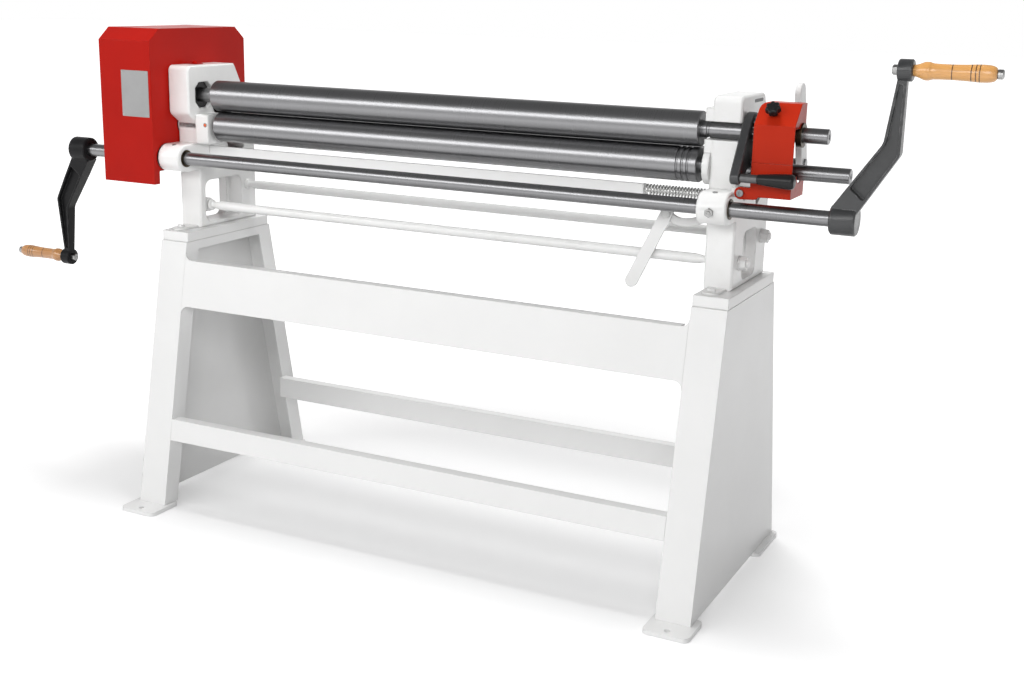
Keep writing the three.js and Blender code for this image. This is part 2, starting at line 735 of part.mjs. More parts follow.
// The two bearings of the lower roll: a trimmed disc on the right, a block on the left.
function lowerBearings() {
  const bushOuter = journalRadius + sleeveWall;
  const bore = rod("x", 0, lowerRollZ, journalRadius + runningGap, leftFrameOuter - 60,
    rightFrameOuter + 60);
  const rightSleeve = rod("x", 0, lowerRollZ, bushOuter, rightFrameX - 4, rightFrameOuter);
  const flatTop = topRollHeight - slotHeight / 2 - padHeight - seatGap;
  const disc = rod("x", 0, lowerRollZ, bushOuter + 15, rightFrameX - padThickness, rightFrameX - seatGap,
    fineSides);
  const trimmed = disc.subtract(box(rightFrameX - 60, rightFrameX + 1, -80, 80, flatTop, flatTop + 60));
  add("right_lower_bearing", join(trimmed, rightSleeve).subtract(bore), paint);
  const blockEnd = -rollEnd + lowerRollSetback - 14;
  const block = prism("x", rectangle(-rollRadius, rollRadius, lowerRollZ - 44, lowerRollZ + 30, 6),
    leftFrameX + seatGap, blockEnd, { bevel: 2 });
  const leftSleeve = rod("x", 0, lowerRollZ, bushOuter, leftFrameOuter, leftFrameX + 4);
  add("left_lower_bearing", join(block, leftSleeve).subtract(bore), paint);
}

// The bolt at a casting's foot goes down through its lug and the top plate of the stand.
function footBolt(x) {
  const seat = standTop + toeHeight + seatGap;
  const head = hexagon("z", x, boltY, boltAcross, seat, seat + boltHead);
  return head.add(rod("z", x, boltY, boltRadius, seat - boltLength, seat + 1, smallSides));
}

function buildFrames() {
  add("right_foot_bolt", footBolt(rightFrameX + frameThickness / 2), zinc);
  add("left_foot_bolt", footBolt(leftFrameX - frameThickness / 2), zinc);
  add("right_end_frame", rightFrame(), paint);
  add("left_end_frame", leftFrame(), paint);
  lowerBearings();
  const sides = [["right", rightFrameX], ["left", leftFrameOuter]];
  sides.forEach(([side, x]) => {
    const bush = ring(shaftY, shaftZ, shaftRadius + runningGap, bushRadius, x - bushProud,
      x + frameThickness + bushProud);
    add(side + "_shaft_bush", bush, bronze);
  });
}

// A tie rod: a tube with tapered ends, a collar against each frame and a thread through it.
function tieRod(y, z) {
  const collar = 7;
  const neck = collar + 8;
  const taper = 34;
  const collarRadius = tieLug - 4;
  const from = leftFrameX + seatGap;
  const to = rightFrameX - seatGap;
  const thread = washerThickness + nutHeight + 5;
  return turned([
    [0, leftFrameOuter - thread], [tieThread, leftFrameOuter - thread], [tieThread, from],
    [collarRadius, from], [collarRadius, from + collar], [tieThread, from + collar],
    [tieThread, from + neck], [tieRadius, from + taper], [tieRadius, to - taper], [tieThread, to - neck],
    [tieThread, to - collar], [collarRadius, to - collar], [collarRadius, to], [tieThread, to],
    [tieThread, rightFrameOuter + thread], [0, rightFrameOuter + thread],
  ], y, z, smallSides);
}

function tieNut(y, z, side) {
  const face = side > 0 ? rightFrameOuter + seatGap : leftFrameOuter - seatGap;
  const span = (from, length) => [from, from + side * length].sort((a, b) => a - b);
  const washer = rod("x", y, z, washerRadius, ...span(face, washerThickness));
  const nut = hexagon("x", y, z, nutAcross, ...span(face, washerThickness + nutHeight));
  const holeSpan = span(face - side, washerThickness + nutHeight + 2);
  const hole = rod("x", y, z, tieThread + seatGap, ...holeSpan, smallSides);
  return join(washer, nut).subtract(hole);
}

function buildTies() {
  [["front", frontTieY, frontTieZ], ["rear", rearTieY, rearTieZ]].forEach(([place, y, z]) => {
    add(place + "_tie_rod", tieRod(y, z), paint);
    add("right_" + place + "_tie_nut", tieNut(y, z, 1), paint);
    add("left_" + place + "_tie_nut", tieNut(y, z, -1), paint);
  });
}

// The profile of a stub's chamfered free end and the centre hole in it.
function stubEnd(end) {
  return [[stubRadius, end - stubChamfer], [stubRadius - stubChamfer, end], [stubCentreHole / 2, end],
    [stubCentreHole / 2, end - stubHoleDepth], [0, end - stubHoleDepth - 4]];
}

// The profile of a roll's working length, with its wire grooves if it has any, between two journals.
function barrel(left, journal, grooves = []) {
  return [
    [journal, left], [rollRadius - rollChamfer, left], [rollRadius, left + rollChamfer], ...grooves,
    [rollRadius, rollEnd - rollChamfer], [rollRadius - rollChamfer, rollEnd], [journal, rollEnd],
  ];
}

function topRoll() {
  const neck = rollEnd + neckInset;
  const profile = [
    [0, leftFrameOuter + 4], [journalRadius, leftFrameOuter + 4], ...barrel(-rollEnd, journalRadius),
    [journalRadius, neck], [journalRadius - neckDepth, neck + 1],
    [journalRadius - neckDepth, neck + neckWidth - 1], [journalRadius, neck + neckWidth],
    [journalRadius, rollGearX - seatGap], [stubRadius, rollGearX - seatGap], ...stubEnd(topStubEnd),
  ];
  return turned(profile, 0, topRollHeight, fineSides);
}

function lowerRoll() {
  const left = -rollEnd + lowerRollSetback;
  const grooves = [2, 1, 0].flatMap((i) => {
    const x = rollEnd - wireGrooveInset - i * wireGroovePitch;
    const [from, to] = [x - wireGrooveDepth, x + wireGrooveDepth];
    return [[rollRadius, from], [rollRadius - wireGrooveDepth, x], [rollRadius, to]];
  });
  const bore = spigotRadius + seatGap;
  const profile = [
    [0, driveWheelX - 8], [journalRadius, driveWheelX - 8], ...barrel(left, journalRadius, grooves),
    [bore, rollEnd], [bore, spigotEnd - seatGap], [0, spigotEnd - seatGap],
  ];
  return turned(profile, 0, lowerRollZ, fineSides);
}

// The lower roll's right stub: its spigot sits in the roll's end and its shoulder against the end face.
function lowerStub() {
  const shoulder = rollEnd + seatGap;
  const profile = [
    [0, spigotEnd], [spigotRadius, spigotEnd], [spigotRadius, shoulder], [journalRadius, shoulder],
    [journalRadius, rollGearX - seatGap], [stubRadius, rollGearX - seatGap], ...stubEnd(lowerStubEnd),
  ];
  return turned(profile, 0, lowerRollZ, fineSides);
}

function rearRoll() {
  const start = leftFrameOuter + 6;
  const end = rightFrameOuter - 6;
  const radius = rearJournal / 2;
  const profile = [[0, start], [radius, start], ...barrel(-rollEnd, radius), [radius, end], [0, end]];
  return turned(profile, rearRollY, rearRollZ, fineSides);
}

// A gear's outline: each tooth has straight flanks, leaned by the pressure angle, from root to tip.
function gearOutline(teeth, module, phase) {
  const pitch = (teeth * module) / 2;
  const half = (Math.PI / 2 / teeth) * (1 - toothBacklash);
  const flank = [-toothRoot, toothTip].map((rise) => {
    const radius = pitch + rise * module;
    return [radius, half - (rise * module * Math.tan(pressureAngle * deg)) / radius];
  });
  return Array.from({ length: teeth }).flatMap((_, i) => {
    const middle = phase + (2 * Math.PI * i) / teeth;
    const points = [...flank.map(([r, a]) => [r, -a]), ...flank.toReversed()];
    return points.map(([r, a]) => new THREE.Vector2(r * Math.cos(middle + a), r * Math.sin(middle + a)));
  });
}

function gear(teeth, module, phase, y, z, x0, x1, bore) {
  const at = (point) => new THREE.Vector2(point.x + y, point.y + z);
  return prism("x", gearOutline(teeth, module, phase).map(at), x0, x1, { holes: [circle(y, z, bore)] });
}

const driveSpan = Math.hypot(shaftY, lowerRollZ - shaftZ);
const driveModule = (2 * driveSpan) / (pinionTeeth + wheelTeeth);
const driveAngle = Math.atan2(lowerRollZ - shaftZ, -shaftY);
const rollModule = (rollDiameter + rollGap) / rollGearTeeth;

function driveWheel() {
  const x1 = driveWheelX + driveWheelWidth;
  const phase = driveAngle + Math.PI + Math.PI / wheelTeeth;
  const bore = journalRadius + seatGap;
  const wheel = gear(wheelTeeth, driveModule, phase, 0, lowerRollZ, driveWheelX, x1, bore);
  const rim = (wheelTeeth * driveModule) / 2 - wheelRim;
  const recess = ring(0, lowerRollZ, journalRadius + 12, rim, x1 - wheelRecess, x1 + 1);
  return wheel.subtract(recess);
}

const pinionEnd = pinionX + pinionWidth;
const grooveX = pinionEnd + seatGap + collarLength / 2 + 2; // middle of the collar's groove
const forkX = grooveX - forkThickness / 2;

// The two dogs of the clutch, or with grow the slots that they drop into.
function dogs(grow, from, to) {
  const half = dogWidth / 2 + grow;
  const low = shaftRadius + 2 - grow;
  const high = collarRadius - 4 + grow;
  const tooth = (z0, z1) => box(from, to, shaftY - half, shaftY + half, z0, z1);
  return join(tooth(shaftZ + low, shaftZ + high), tooth(shaftZ - high, shaftZ - low));
}

function pinion() {
  const bore = shaftRadius + seatGap;
  const teeth = gear(pinionTeeth, driveModule, driveAngle, shaftY, shaftZ, pinionX, pinionEnd, bore);
  return teeth.subtract(dogs(seatGap, pinionEnd - dogDepth - seatGap, pinionEnd + 1));
}

function clutchCollar() {
  const x0 = pinionEnd + seatGap;
  const x1 = x0 + collarLength;
  const half = grooveWidth / 2;
  const body = rod("x", shaftY, shaftZ, collarRadius, x0, x1);
  const groove = ring(shaftY, shaftZ, grooveRadius, collarRadius + 2, grooveX - half, grooveX + half);
  const teeth = dogs(0, pinionEnd - dogDepth, x0 + 2);
  const bore = rod("x", shaftY, shaftZ, shaftRadius + runningGap, x0 - 20, x1 + 20);
  return body.subtract(groove).add(teeth).subtract(bore);
}

// The fork sits in the collar's groove and is carried by the end of the shift rail.
function shiftFork() {
  const end = forkX + forkThickness;
  const armOutline = link(railY, railZ, railHeight / 2, shaftY + grooveRadius + 8, shaftZ, 17);
  const arm = prism("x", armOutline, forkX, end);
  const jaw = rod("x", shaftY, shaftZ, grooveRadius + 13, forkX, end);
  const mouth = box(forkX - 1, end + 1, shaftY - 60, shaftY - 4, shaftZ - 60, shaftZ + 60);
  const throat = rod("x", shaftY, shaftZ, grooveRadius + runningGap, forkX - 1, end + 1);
  return join(arm, jaw).subtract(mouth).subtract(throat);
}

function driveShaft() {
  const x0 = leftHubX - hubLength / 2 + 2;
  const x1 = rightHubX + hubLength / 2 - 2;
  const profile = [[0, x0], [shaftRadius - 1, x0], [shaftRadius, x0 + 1], [shaftRadius, x1 - 1],
    [shaftRadius - 1, x1], [0, x1]];
  return turned(profile, shaftY, shaftZ);
}

// A crank stands upright at X = 0 before it is set on the shaft. The edge of its arm on one side runs
// from beside the hub to the bend and up to the eye, as corners with their radii.
function crankEdge(side, inset) {
  const u = crankOffset;
  const slant = Math.atan2(u, crankBend);
  const root = (side * crankRootWidth) / 2 - (side * inset) / Math.cos(slant);
  const bend = (side * crankBendWidth) / 2 - (side * inset) / Math.cos(slant / 2);
  const end = (side * crankEndWidth) / 2 - side * inset;
  return [
    [root - 3, 16 - side * 12],
    [u - 11 + bend, crankBend - side * 12, 18],
    [u + end, crankReach],
  ];
}

function between(from, to, share) {
  return from.slice(0, 2).map((value, i) => THREE.MathUtils.lerp(value, to[i], share));
}

// The arm itself: an outline with pockets in both faces, tapered in depth towards the eye.
function crankLimb() {
  const outline = rounded([...crankEdge(1, 0), ...crankEdge(-1, 0).reverse()]);
  const limb = prism("y", outline, -crankRootDepth, crankRootDepth);
  const [root, end] = [crankRootDepth / 2, crankEndDepth / 2];
  const taperSide = [[root, -hubRadius], [root, crankBend / 2], [end, crankReach], [end, crankReach + 1]];
  const taper = [...taperSide, ...taperSide.map(([y, z]) => [-y, z]).reverse()]
    .map(([y, z]) => new THREE.Vector2(y, z));
  const pocketEdge = (side) => {
    const [low, bend, high] = crankEdge(side, crankRim);
    const top = 1 - (crankEyeRadius + crankRim) / (crankReach - crankBend);
    return [[...between(low, bend, 0.3), crankRim], bend, [...between(bend, high, top), 3]];
  };
  const pocket = rounded([...pocketEdge(1), ...pocketEdge(-1).reverse()]);
  return limb
    .intersect(prism("x", taper, -crankRootWidth, crankOffset + crankRootWidth))
    .subtract(prism("y", pocket, -crankRootDepth, -crankWeb / 2))
    .subtract(prism("y", pocket, crankWeb / 2, crankRootDepth));
}

const eyeStart = crankOffset + 3 - crankEyeLength / 2;
const gripStart = eyeStart + crankEyeLength + runningGap;

// A whole crank: hub, cranked arm and the eye of its handle pin.
function crankArm() {
  const hub = prism("x", circle(0, 0, hubRadius), -hubLength / 2, hubLength / 2, { bevel: 3 });
  const eyeEnd = eyeStart + crankEyeLength;
  const eye = prism("x", circle(0, crankReach, crankEyeRadius), eyeStart, eyeEnd, { bevel: 2 });
  const bore = rod("x", 0, 0, shaftRadius + seatGap, -hubLength / 2 - 1, hubLength / 2 - 1);
  const eyeBore = rod("x", 0, crankReach, handlePinRadius + seatGap, 0, 2 * crankOffset, smallSides);
  return join(crankLimb(), hub, eye).subtract(bore).subtract(eyeBore);
}

// The pin of a crank handle: a hexagon head inside the eye, and a round end past the grip.
function handlePin() {
  const gripEnd = gripStart + handleLength;
  const headEnd = eyeStart - seatGap;
  const head = hexagon("x", 0, crankReach, pinHeadAcross, headEnd - pinHeadLength, headEnd);
  const end = gripEnd + handleTipLength;
  const shank = rod("x", 0, crankReach, handlePinRadius, headEnd - 1, end, smallSides);
  const tip = rod("x", 0, crankReach, handleTipRadius, gripEnd + runningGap, end, handleSides);
  return join(head, shank, tip);
}

function grip() {
  const outer = gripShape.map(([along, wide]) => [wide * handleRadius, gripStart + along * handleLength]);
  const inner = handlePinRadius + runningGap;
  const profile = [[inner, gripStart], ...outer, [inner, gripStart + handleLength], [inner, gripStart]];
  return turned(profile, 0, crankReach, handleSides);
}

// Sets a crank piece on the shaft: the left one is the right one turned end for end, so it points down.
function onShaft(piece, side) {
  const turn = new THREE.Matrix4().makeRotationX(crankLean * deg);
  const flip = new THREE.Matrix4().makeRotationY(side > 0 ? 0 : Math.PI);
  const place = new THREE.Matrix4().makeTranslation(side > 0 ? rightHubX : leftHubX, shaftY, shaftZ);
  return transformed(piece, place.multiply(turn).multiply(flip));
}

function buildDrive() {
  add("drive_shaft", driveShaft(), steel);
  add("drive_pinion", pinion(), steel);
  add("lower_drive_gear", driveWheel(), steel);
  add("clutch_collar", clutchCollar(), steel);
  [["right", 1], ["left", -1]].forEach(([side, sign]) => {
    add(side + "_crank", onShaft(crankArm(), sign), castDark);
    add(side + "_handle_pin", onShaft(handlePin(), sign), zinc);
    add(side + "_handle", onShaft(grip(), sign), wood);
  });
}

function buildRolls() {
  add("top_roll", topRoll(), steel);
  add("lower_roll", lowerRoll(), steel);
  add("lower_roll_stub", lowerStub(), steel);
  add("rear_roll", rearRoll(), steel);
  add("swivel_bearing", swivelBearing(), plastic);
  const x1 = rollGearX + rollGearWidth;
  const bore = stubRadius + seatGap;
  const rollGear = (phase, z) => gear(rollGearTeeth, rollModule, phase, 0, z, rollGearX, x1, bore);
  const meshing = Math.PI / 2 + Math.PI / rollGearTeeth; // a space of the lower gear meets a tooth
  add("upper_roll_gear", rollGear(-Math.PI / 2, topRollHeight), castDark);
  add("lower_roll_gear", rollGear(meshing, lowerRollZ), castDark);
}

// The locking arm turns on the top roll's journal, just outside the right frame.
function buildLockArm() {
  const x0 = rightFrameOuter + armGap;
  const x1 = x0 + armThickness;
  const y = -armForward;
  const z = topRollHeight - armDrop;
  const outline = link(0, topRollHeight, armHubRadius, y, z, armEndRadius, 10);
  const plate = prism("x", outline, x0, x1, { bevel: 2 });
  const bore = rod("x", 0, topRollHeight, journalRadius + runningGap, x0 - 1, x1 + 1);
  const pinHole = rod("x", y, z, handlePinRadius + seatGap, x0 - 1, x1 + 1, smallSides);
  add("lock_arm", plate.subtract(bore).subtract(pinHole), castDark);
  const spacer = x1 + seatGap;
  const spacerEnd = spacer + armSpacerLength;
  const start = spacerEnd + runningGap;
  const end = start + armHandleLength;
  const pinEnd = end - armHandleCap - 1;
  const pin = [
    [0, x0], [handlePinRadius, x0], [handlePinRadius, spacer], [armSpacerRadius, spacer],
    [armSpacerRadius, spacerEnd], [handlePinRadius, spacerEnd], [handlePinRadius, pinEnd], [0, pinEnd],
  ];
  add("lock_handle_pin", turned(pin, y, z, smallSides), steel);
  const bored = handlePinRadius + runningGap;
  const outer = armHandleShape.map(([along, wide]) =>
    [wide * armHandleRadius, start + along * armHandleLength]);
  const bottom = end - armHandleCap;
  const handle = [[bored, start], ...outer, [0, end], [0, bottom], [bored, bottom], [bored, start]];
  add("lock_handle", turned(handle, y, z, handleSides), plastic);
}

// Hood: the side view of the bent sheet, front, facet and top, with its right side plate.
function hoodSheetOutline(by) {
  return [
    [hoodFront + by, hoodSeam + seatGap], [hoodFront + by, hoodFacetLow - by * 0.4],
    [hoodFront + hoodFacetDepth + by * 0.4, hoodTop - by], [hoodRear, hoodTop - by],
  ];
}

function gearHood() {
  const skin = [...hoodSheetOutline(0), ...hoodSheetOutline(hoodSheet).reverse()];
  const sheetPiece = prism("x", skin.map(([y, z]) => new THREE.Vector2(y, z)), hoodLeft, hoodRight);
  const side = [
    [hoodFront, hoodSideBottom], [hoodFront, hoodFacetLow], [hoodFront + hoodFacetDepth, hoodTop],
    [hoodRear, hoodTop], [hoodRear, hoodSideBottom],
  ].map(([y, z]) => new THREE.Vector2(y, z));
  const bushHole = rod("x", 0, topRollHeight, hoodBushRadius + seatGap, hoodRight - 20, hoodRight + 1);
  const sidePlate = prism("x", side, hoodRight - hoodSheet, hoodRight).subtract(bushHole);
  const [cornerX, cornerZ] = [hoodLeft + hoodCorner, hoodTop - hoodCorner];
  const square = box(hoodLeft - 1, cornerX, hoodFront - 1, hoodRear + 1, cornerZ, hoodTop + 1);
  const round = rod("y", cornerX, cornerZ, hoodCorner, hoodFront - 2, hoodRear + 2);
  const trim = square.subtract(round);
  const [x, y, z] = knobSeat;
  const upright = rod("z", x, y, knobStemRadius + runningGap, z - 20, z + 20, smallSides);
  const stemHole = turnedAbout(knobSeat, 45, upright);
  return join(sheetPiece, sidePlate).subtract(trim).subtract(stemHole);
}

const facetRise = hoodTop - hoodFacetLow;
const knobSeat = [knobX, hoodFront + hoodFacetDepth / 2, hoodFacetLow + facetRise / 2];

// A lobed knob on a threaded stem, square to the hood's facet.
function starKnob() {
  const [x, y, z] = knobSeat;
  const count = knobLobes * 4;
  const lobes = Array.from({ length: count }, (_, i) => {
    const angle = (2 * Math.PI * i) / count;
    const radius = knobRadius * (0.9 + 0.1 * Math.cos(knobLobes * angle));
    return new THREE.Vector2(x + radius * Math.cos(angle), y + radius * Math.sin(angle));
  });
  const base = z + seatGap + 1;
  const head = prism("z", lobes, base + knobStem, base + knobStem + knobHeight, { bevel: 1.5 });
  const neck = rod("z", x, y, knobNeckRadius, base, base + knobStem + 1, smallSides);
  const stem = rod("z", x, y, knobStemRadius, z - 14, base + 1, smallSides);
  return turnedAbout(knobSeat, 45, join(head, neck, stem));
}

function lowerGearGuard() {
  const [bottom, top] = [lowerGuardBottom, lowerRollZ - 6];
  const front = box(hoodLeft, hoodRight, hoodFront, hoodFront + hoodSheet, bottom, hoodSeam);
  const floor = box(hoodLeft, hoodRight, hoodFront, lowerGuardRear, bottom, bottom + hoodSheet);
  const side = rounded([[hoodFront, bottom], [lowerGuardRear, bottom, 8], [lowerGuardRear, top, 4],
    [hoodFront, top]]);
  const stubHole = rod("x", 0, lowerRollZ, stubRadius + 6, hoodRight - 10, hoodRight + 1);
  const sidePlate = prism("x", side, hoodRight - hoodSheet, hoodRight).subtract(stubHole);
  const lugOutline = link(guardLugX, guardLugHeight, guardLugRadius, hoodLeft + 8, guardLugHeight,
    guardLugRadius - 1);
  const lug = prism("y", lugOutline, hoodFront, hoodFront + hoodSheet);
  const boltHole = rod("y", guardLugX, guardLugHeight, guardBoltRadius + seatGap, hoodFront - 1,
    hoodFront + 5, smallSides);
  return join(front, floor, sidePlate, lug).subtract(boltHole);
}

// The bolt through the guard's lug into the right frame, with a hexagon socket in its head.
function guardBolt() {
  const [x, z] = [guardLugX, guardLugHeight];
  const under = hoodFront - seatGap;
  const top = under - 5;
  const head = rod("y", x, z, guardBoltHead, top, under, smallSides);
  const shank = rod("y", x, z, guardBoltRadius, under - 1, frameFront - 3, smallSides);
  return join(head, shank).subtract(hexagon("y", x, z, 6, top - 1, top + 2.5));
}

function buildRightGuards() {
  const bushMiddle = hoodRight - (hoodSheet + 2) / 2;
  add("gear_hood", gearHood(), red);
  add("hood_bush", ring(0, topRollHeight, stubRadius + runningGap, hoodBushRadius,
    bushMiddle - hoodBushLength / 2, bushMiddle + hoodBushLength / 2), plastic);
  add("star_knob", starKnob(), plastic);
  add("lower_gear_guard", lowerGearGuard(), red);
  add("guard_bolt", guardBolt(), zinc);
}

// The left guard: a sheet box open below, chamfered above, round the drive gears.
function leftGuard() {
  const chamferEnd = leftGuardTop - guardChamferHeight;
  const outline = (by) => {
    const bend = by * 0.3;
    const front = [[leftGuardFront + by, leftGuardBottom], [leftGuardFront + by, chamferEnd - bend],
      [leftGuardFront + guardChamferDepth + bend, leftGuardTop - by]];
    const middle = leftGuardFront + leftGuardRear;
    const rear = front.map(([y, z]) => [middle - y, z]).reverse();
    return [...front, ...rear].map(([y, z]) => new THREE.Vector2(y, z));
  };
  const shell = prism("x", outline(0), leftGuardLeft, leftGuardRight);
  const [x0, x1] = [leftGuardLeft + guardSheet, leftGuardRight - guardSheet];
  const [y0, y1] = [leftGuardFront + guardSheet, leftGuardRear - guardSheet];
  const mouth = box(x0, x1, y0, y1, leftGuardBottom - 5, leftGuardBottom + 20);
  const inside = prism("x", outline(guardSheet), x0, x1).add(mouth);
  const plateCut = [
    [leftGuardFront + guardLip, leftGuardBottom - 1], [y1, leftGuardBottom - 1],
    [y1, guardPlateBottom], [leftGuardFront + guardLip, guardPlateBottom, 6],
  ];
  const plateSpan = [x1 - 1, leftGuardRight + 1];
  const cut = prism("x", rounded(plateCut), ...plateSpan);
  const holes = [
    rod("x", shaftY, shaftZ, shaftRadius + 6, leftGuardLeft - 1, leftGuardLeft + 5),
    rod("x", shaftY, shaftZ, bossRadius, ...plateSpan),
    rod("x", 0, lowerRollZ, journalRadius + 9, ...plateSpan),
    rod("x", liftShaft.x, liftShaft.y, liftShaftRadius + 4, ...plateSpan, smallSides),
    box(...plateSpan, railY - railThickness, railY + railThickness, railZ - railHeight / 2 - 4,
      railZ + railHeight / 2 + 4),
  ];
  const tabBottom = frameTop + seatGap;
  const tab = box(leftFrameX - 26, leftGuardRight - 1, 8, 34, tabBottom, tabBottom + guardSheet);
  const whole = holes.reduce((piece, hole) => piece.subtract(hole), shell.subtract(inside).subtract(cut));
  return whole.add(tab);
}

// Shift rail with its tail under the spring, and the slot for the lever's pin.
const leverUp = new THREE.Vector2(Math.sin(leverLean * deg), Math.cos(leverLean * deg));
const leverPin = new THREE.Vector2(leverPivotX, leverPivotZ).addScaledVector(leverUp, leverPinReach);

function shiftRail() {
  const [y0, y1] = [railY - railThickness / 2, railY + railThickness / 2];
  const half = railHeight / 2;
  const bar = box(forkX + forkThickness, railRightEnd, y0, y1, railZ - half, railZ + half);
  const [tailLeft, tailRight] = [railRightEnd - 34, railRightEnd - 4];
  const [low, high] = [leverPin.y - 16, leverPin.y + 6];
  const tail = prism("y", rounded([
    [tailLeft, railZ], [tailLeft, low, 8], [leverPin.x + 14, low, 5], [leverPin.x + 14, high, 5],
    [tailRight, high, 2], [tailRight, railZ],
  ]), y0, y1);
  const reach = leverPinRadius + wideGap;
  const slot = box(leverPin.x - reach, leverPin.x + reach, y0 - 1, y1 + 1,
    leverPin.y - leverPinRadius - 8, leverPin.y + reach);
  const rodPiece = rod("x", railY, railZ, springRodRadius, railRightEnd - 2, rightFrameX + 24, smallSides);
  const collar = rod("x", railY, railZ, springRadius + 2, railRightEnd - 1, railRightEnd + springCollar);
  return join(bar, tail, rodPiece, collar).subtract(slot);
}

const springStart = railRightEnd + springCollar + seatGap;
const springEnd = rightFrameX - seatGap;
const springTurns = Math.round((springEnd - springStart - 2 * springWire) / springPitch);

// How many turns the wire has made by a share of the spring's length: none while it is straight at an end.
function turnsAt(share) {
  const straight = springWire / (springEnd - springStart);
  return springTurns * THREE.MathUtils.clamp((share - straight) / (1 - 2 * straight), 0, 1);
}

// The wire's centre line: straight for one wire at each end, and an even helix between.
class SpringLine extends THREE.Curve {
  getPoint(share, target = new THREE.Vector3()) {
    const angle = 2 * Math.PI * turnsAt(share);
    return target.set(
      THREE.MathUtils.lerp(springStart, springEnd, share),
      railY + springRadius * Math.cos(angle),
      railZ + springRadius * Math.sin(angle),
    );
  }
}

function shiftSpring() {
  const section = new THREE.Shape(circle(0, 0, springWire / 2, 5));
  const path = new SpringLine();
  path.arcLengthDivisions = springTurns * 64;
  const steps = springTurns * 8 + 2;
  return solid(new THREE.ExtrudeGeometry(section, { steps, bevelEnabled: false, extrudePath: path }));
}

// The least gap between the wire and itself, over points more than a third of a turn apart.
function springGap() {
  const count = springTurns * 24;
  const line = new SpringLine();
  const shares = Array.from({ length: count + 1 }, (_, i) => i / count);
  const points = shares.map((share) => [turnsAt(share), line.getPoint(share)]);
  const gaps = points.flatMap(([turns, point]) => {
    const apart = points.filter(([others]) => others > turns + 1 / 3);
    return apart.map(([, other]) => point.distanceTo(other) - springWire);
  });
  return Math.min(...gaps);
}

function shiftLever() {
  const [y0, y1] = [leverY - leverThickness / 2, leverY + leverThickness / 2];
  const half = leverWidth / 2;
  const foot = new THREE.Vector2(leverPivotX, leverPivotZ).addScaledVector(leverUp, half - leverReach);
  const blade = prism("y", link(leverPivotX, leverPivotZ, half - 1, foot.x, foot.y, half), y0, y1);
  const ear = prism("y", link(leverPivotX, leverPivotZ, 12, leverPin.x, leverPin.y, 7), y0, y1);
  const pinEnd = railY + railThickness / 2;
  const pin = rod("y", leverPin.x, leverPin.y, leverPinRadius, y1 - 1, pinEnd, smallSides);
  const hole = rod("y", leverPivotX, leverPivotZ, pivotPinRadius + runningGap, y0 - 1, y1 + 1, smallSides);
  return join(blade, ear, pin).subtract(hole);
}

// The bracket's strip dips under the lever's pin and rises to the frame.
function leverBracket() {
  const leverFront = leverY - leverThickness / 2;
  const y0 = leverY + leverThickness / 2 + runningGap;
  const y1 = y0 + leverThickness;
  const seat = rightFrameX - seatGap;
  const path = new THREE.QuadraticBezierCurve(
    new THREE.Vector2(leverPivotX, leverPivotZ),
    new THREE.Vector2(leverPivotX + 32, leverPivotZ - 36),
    new THREE.Vector2(seat, leverPivotZ + 4),
  );
  const count = 12;
  const edge = (side) =>
    Array.from({ length: count + 1 }, (_, i) => {
      const tangent = path.getTangent(i / count);
      const point = path.getPoint(i / count);
      const reach = (side * bracketWidth) / 2;
      return new THREE.Vector2(Math.min(point.x - tangent.y * reach, seat), point.y + tangent.x * reach);
    });
  const strip = prism("y", [...edge(1), ...edge(-1).reverse()], y0, y1);
  const eye = rod("y", leverPivotX, leverPivotZ, 13, y0, y1);
  const pad = box(seat - 5, seat, y0, y0 + 26, leverPivotZ - 8, leverPivotZ + 16);
  const pinAt = [leverPivotX, leverPivotZ];
  const pin = rod("y", ...pinAt, pivotPinRadius, leverFront - 4, y0 + 1, smallSides);
  const head = rod("y", ...pinAt, pivotPinRadius + 4, leverFront - 6, leverFront - runningGap, smallSides);
  return join(strip, eye, pad, pin, head);
}

function buildShift() {
  add("shift_rail", shiftRail(), paint);
  add("shift_fork", shiftFork(), steel);
  add("shift_spring", shiftSpring(), zinc);
  add("shift_lever", shiftLever(), paint);
  add("lever_bracket", leverBracket(), paint);
}

// Rear roll slides, and the lift shaft whose two arms raise them.
function slide(x0, x1) {
  const half = guideSlotWidth / 2 - wideGap;
  const low = -slideHeight / 2;
  const corners = [[-half, low], [2, low], [half, low + slideChamferRise], [half, -low], [-half, -low]];
  const outline = rounded(corners.map(([across, up]) => [...onLift(across, up).toArray(), 3]));
  const bore = rod("x", rearRollY, rearRollZ, rearJournal / 2 + runningGap, x0 - 1, x1 + 1);
  return prism("x", outline, x0, x1).subtract(bore);
}

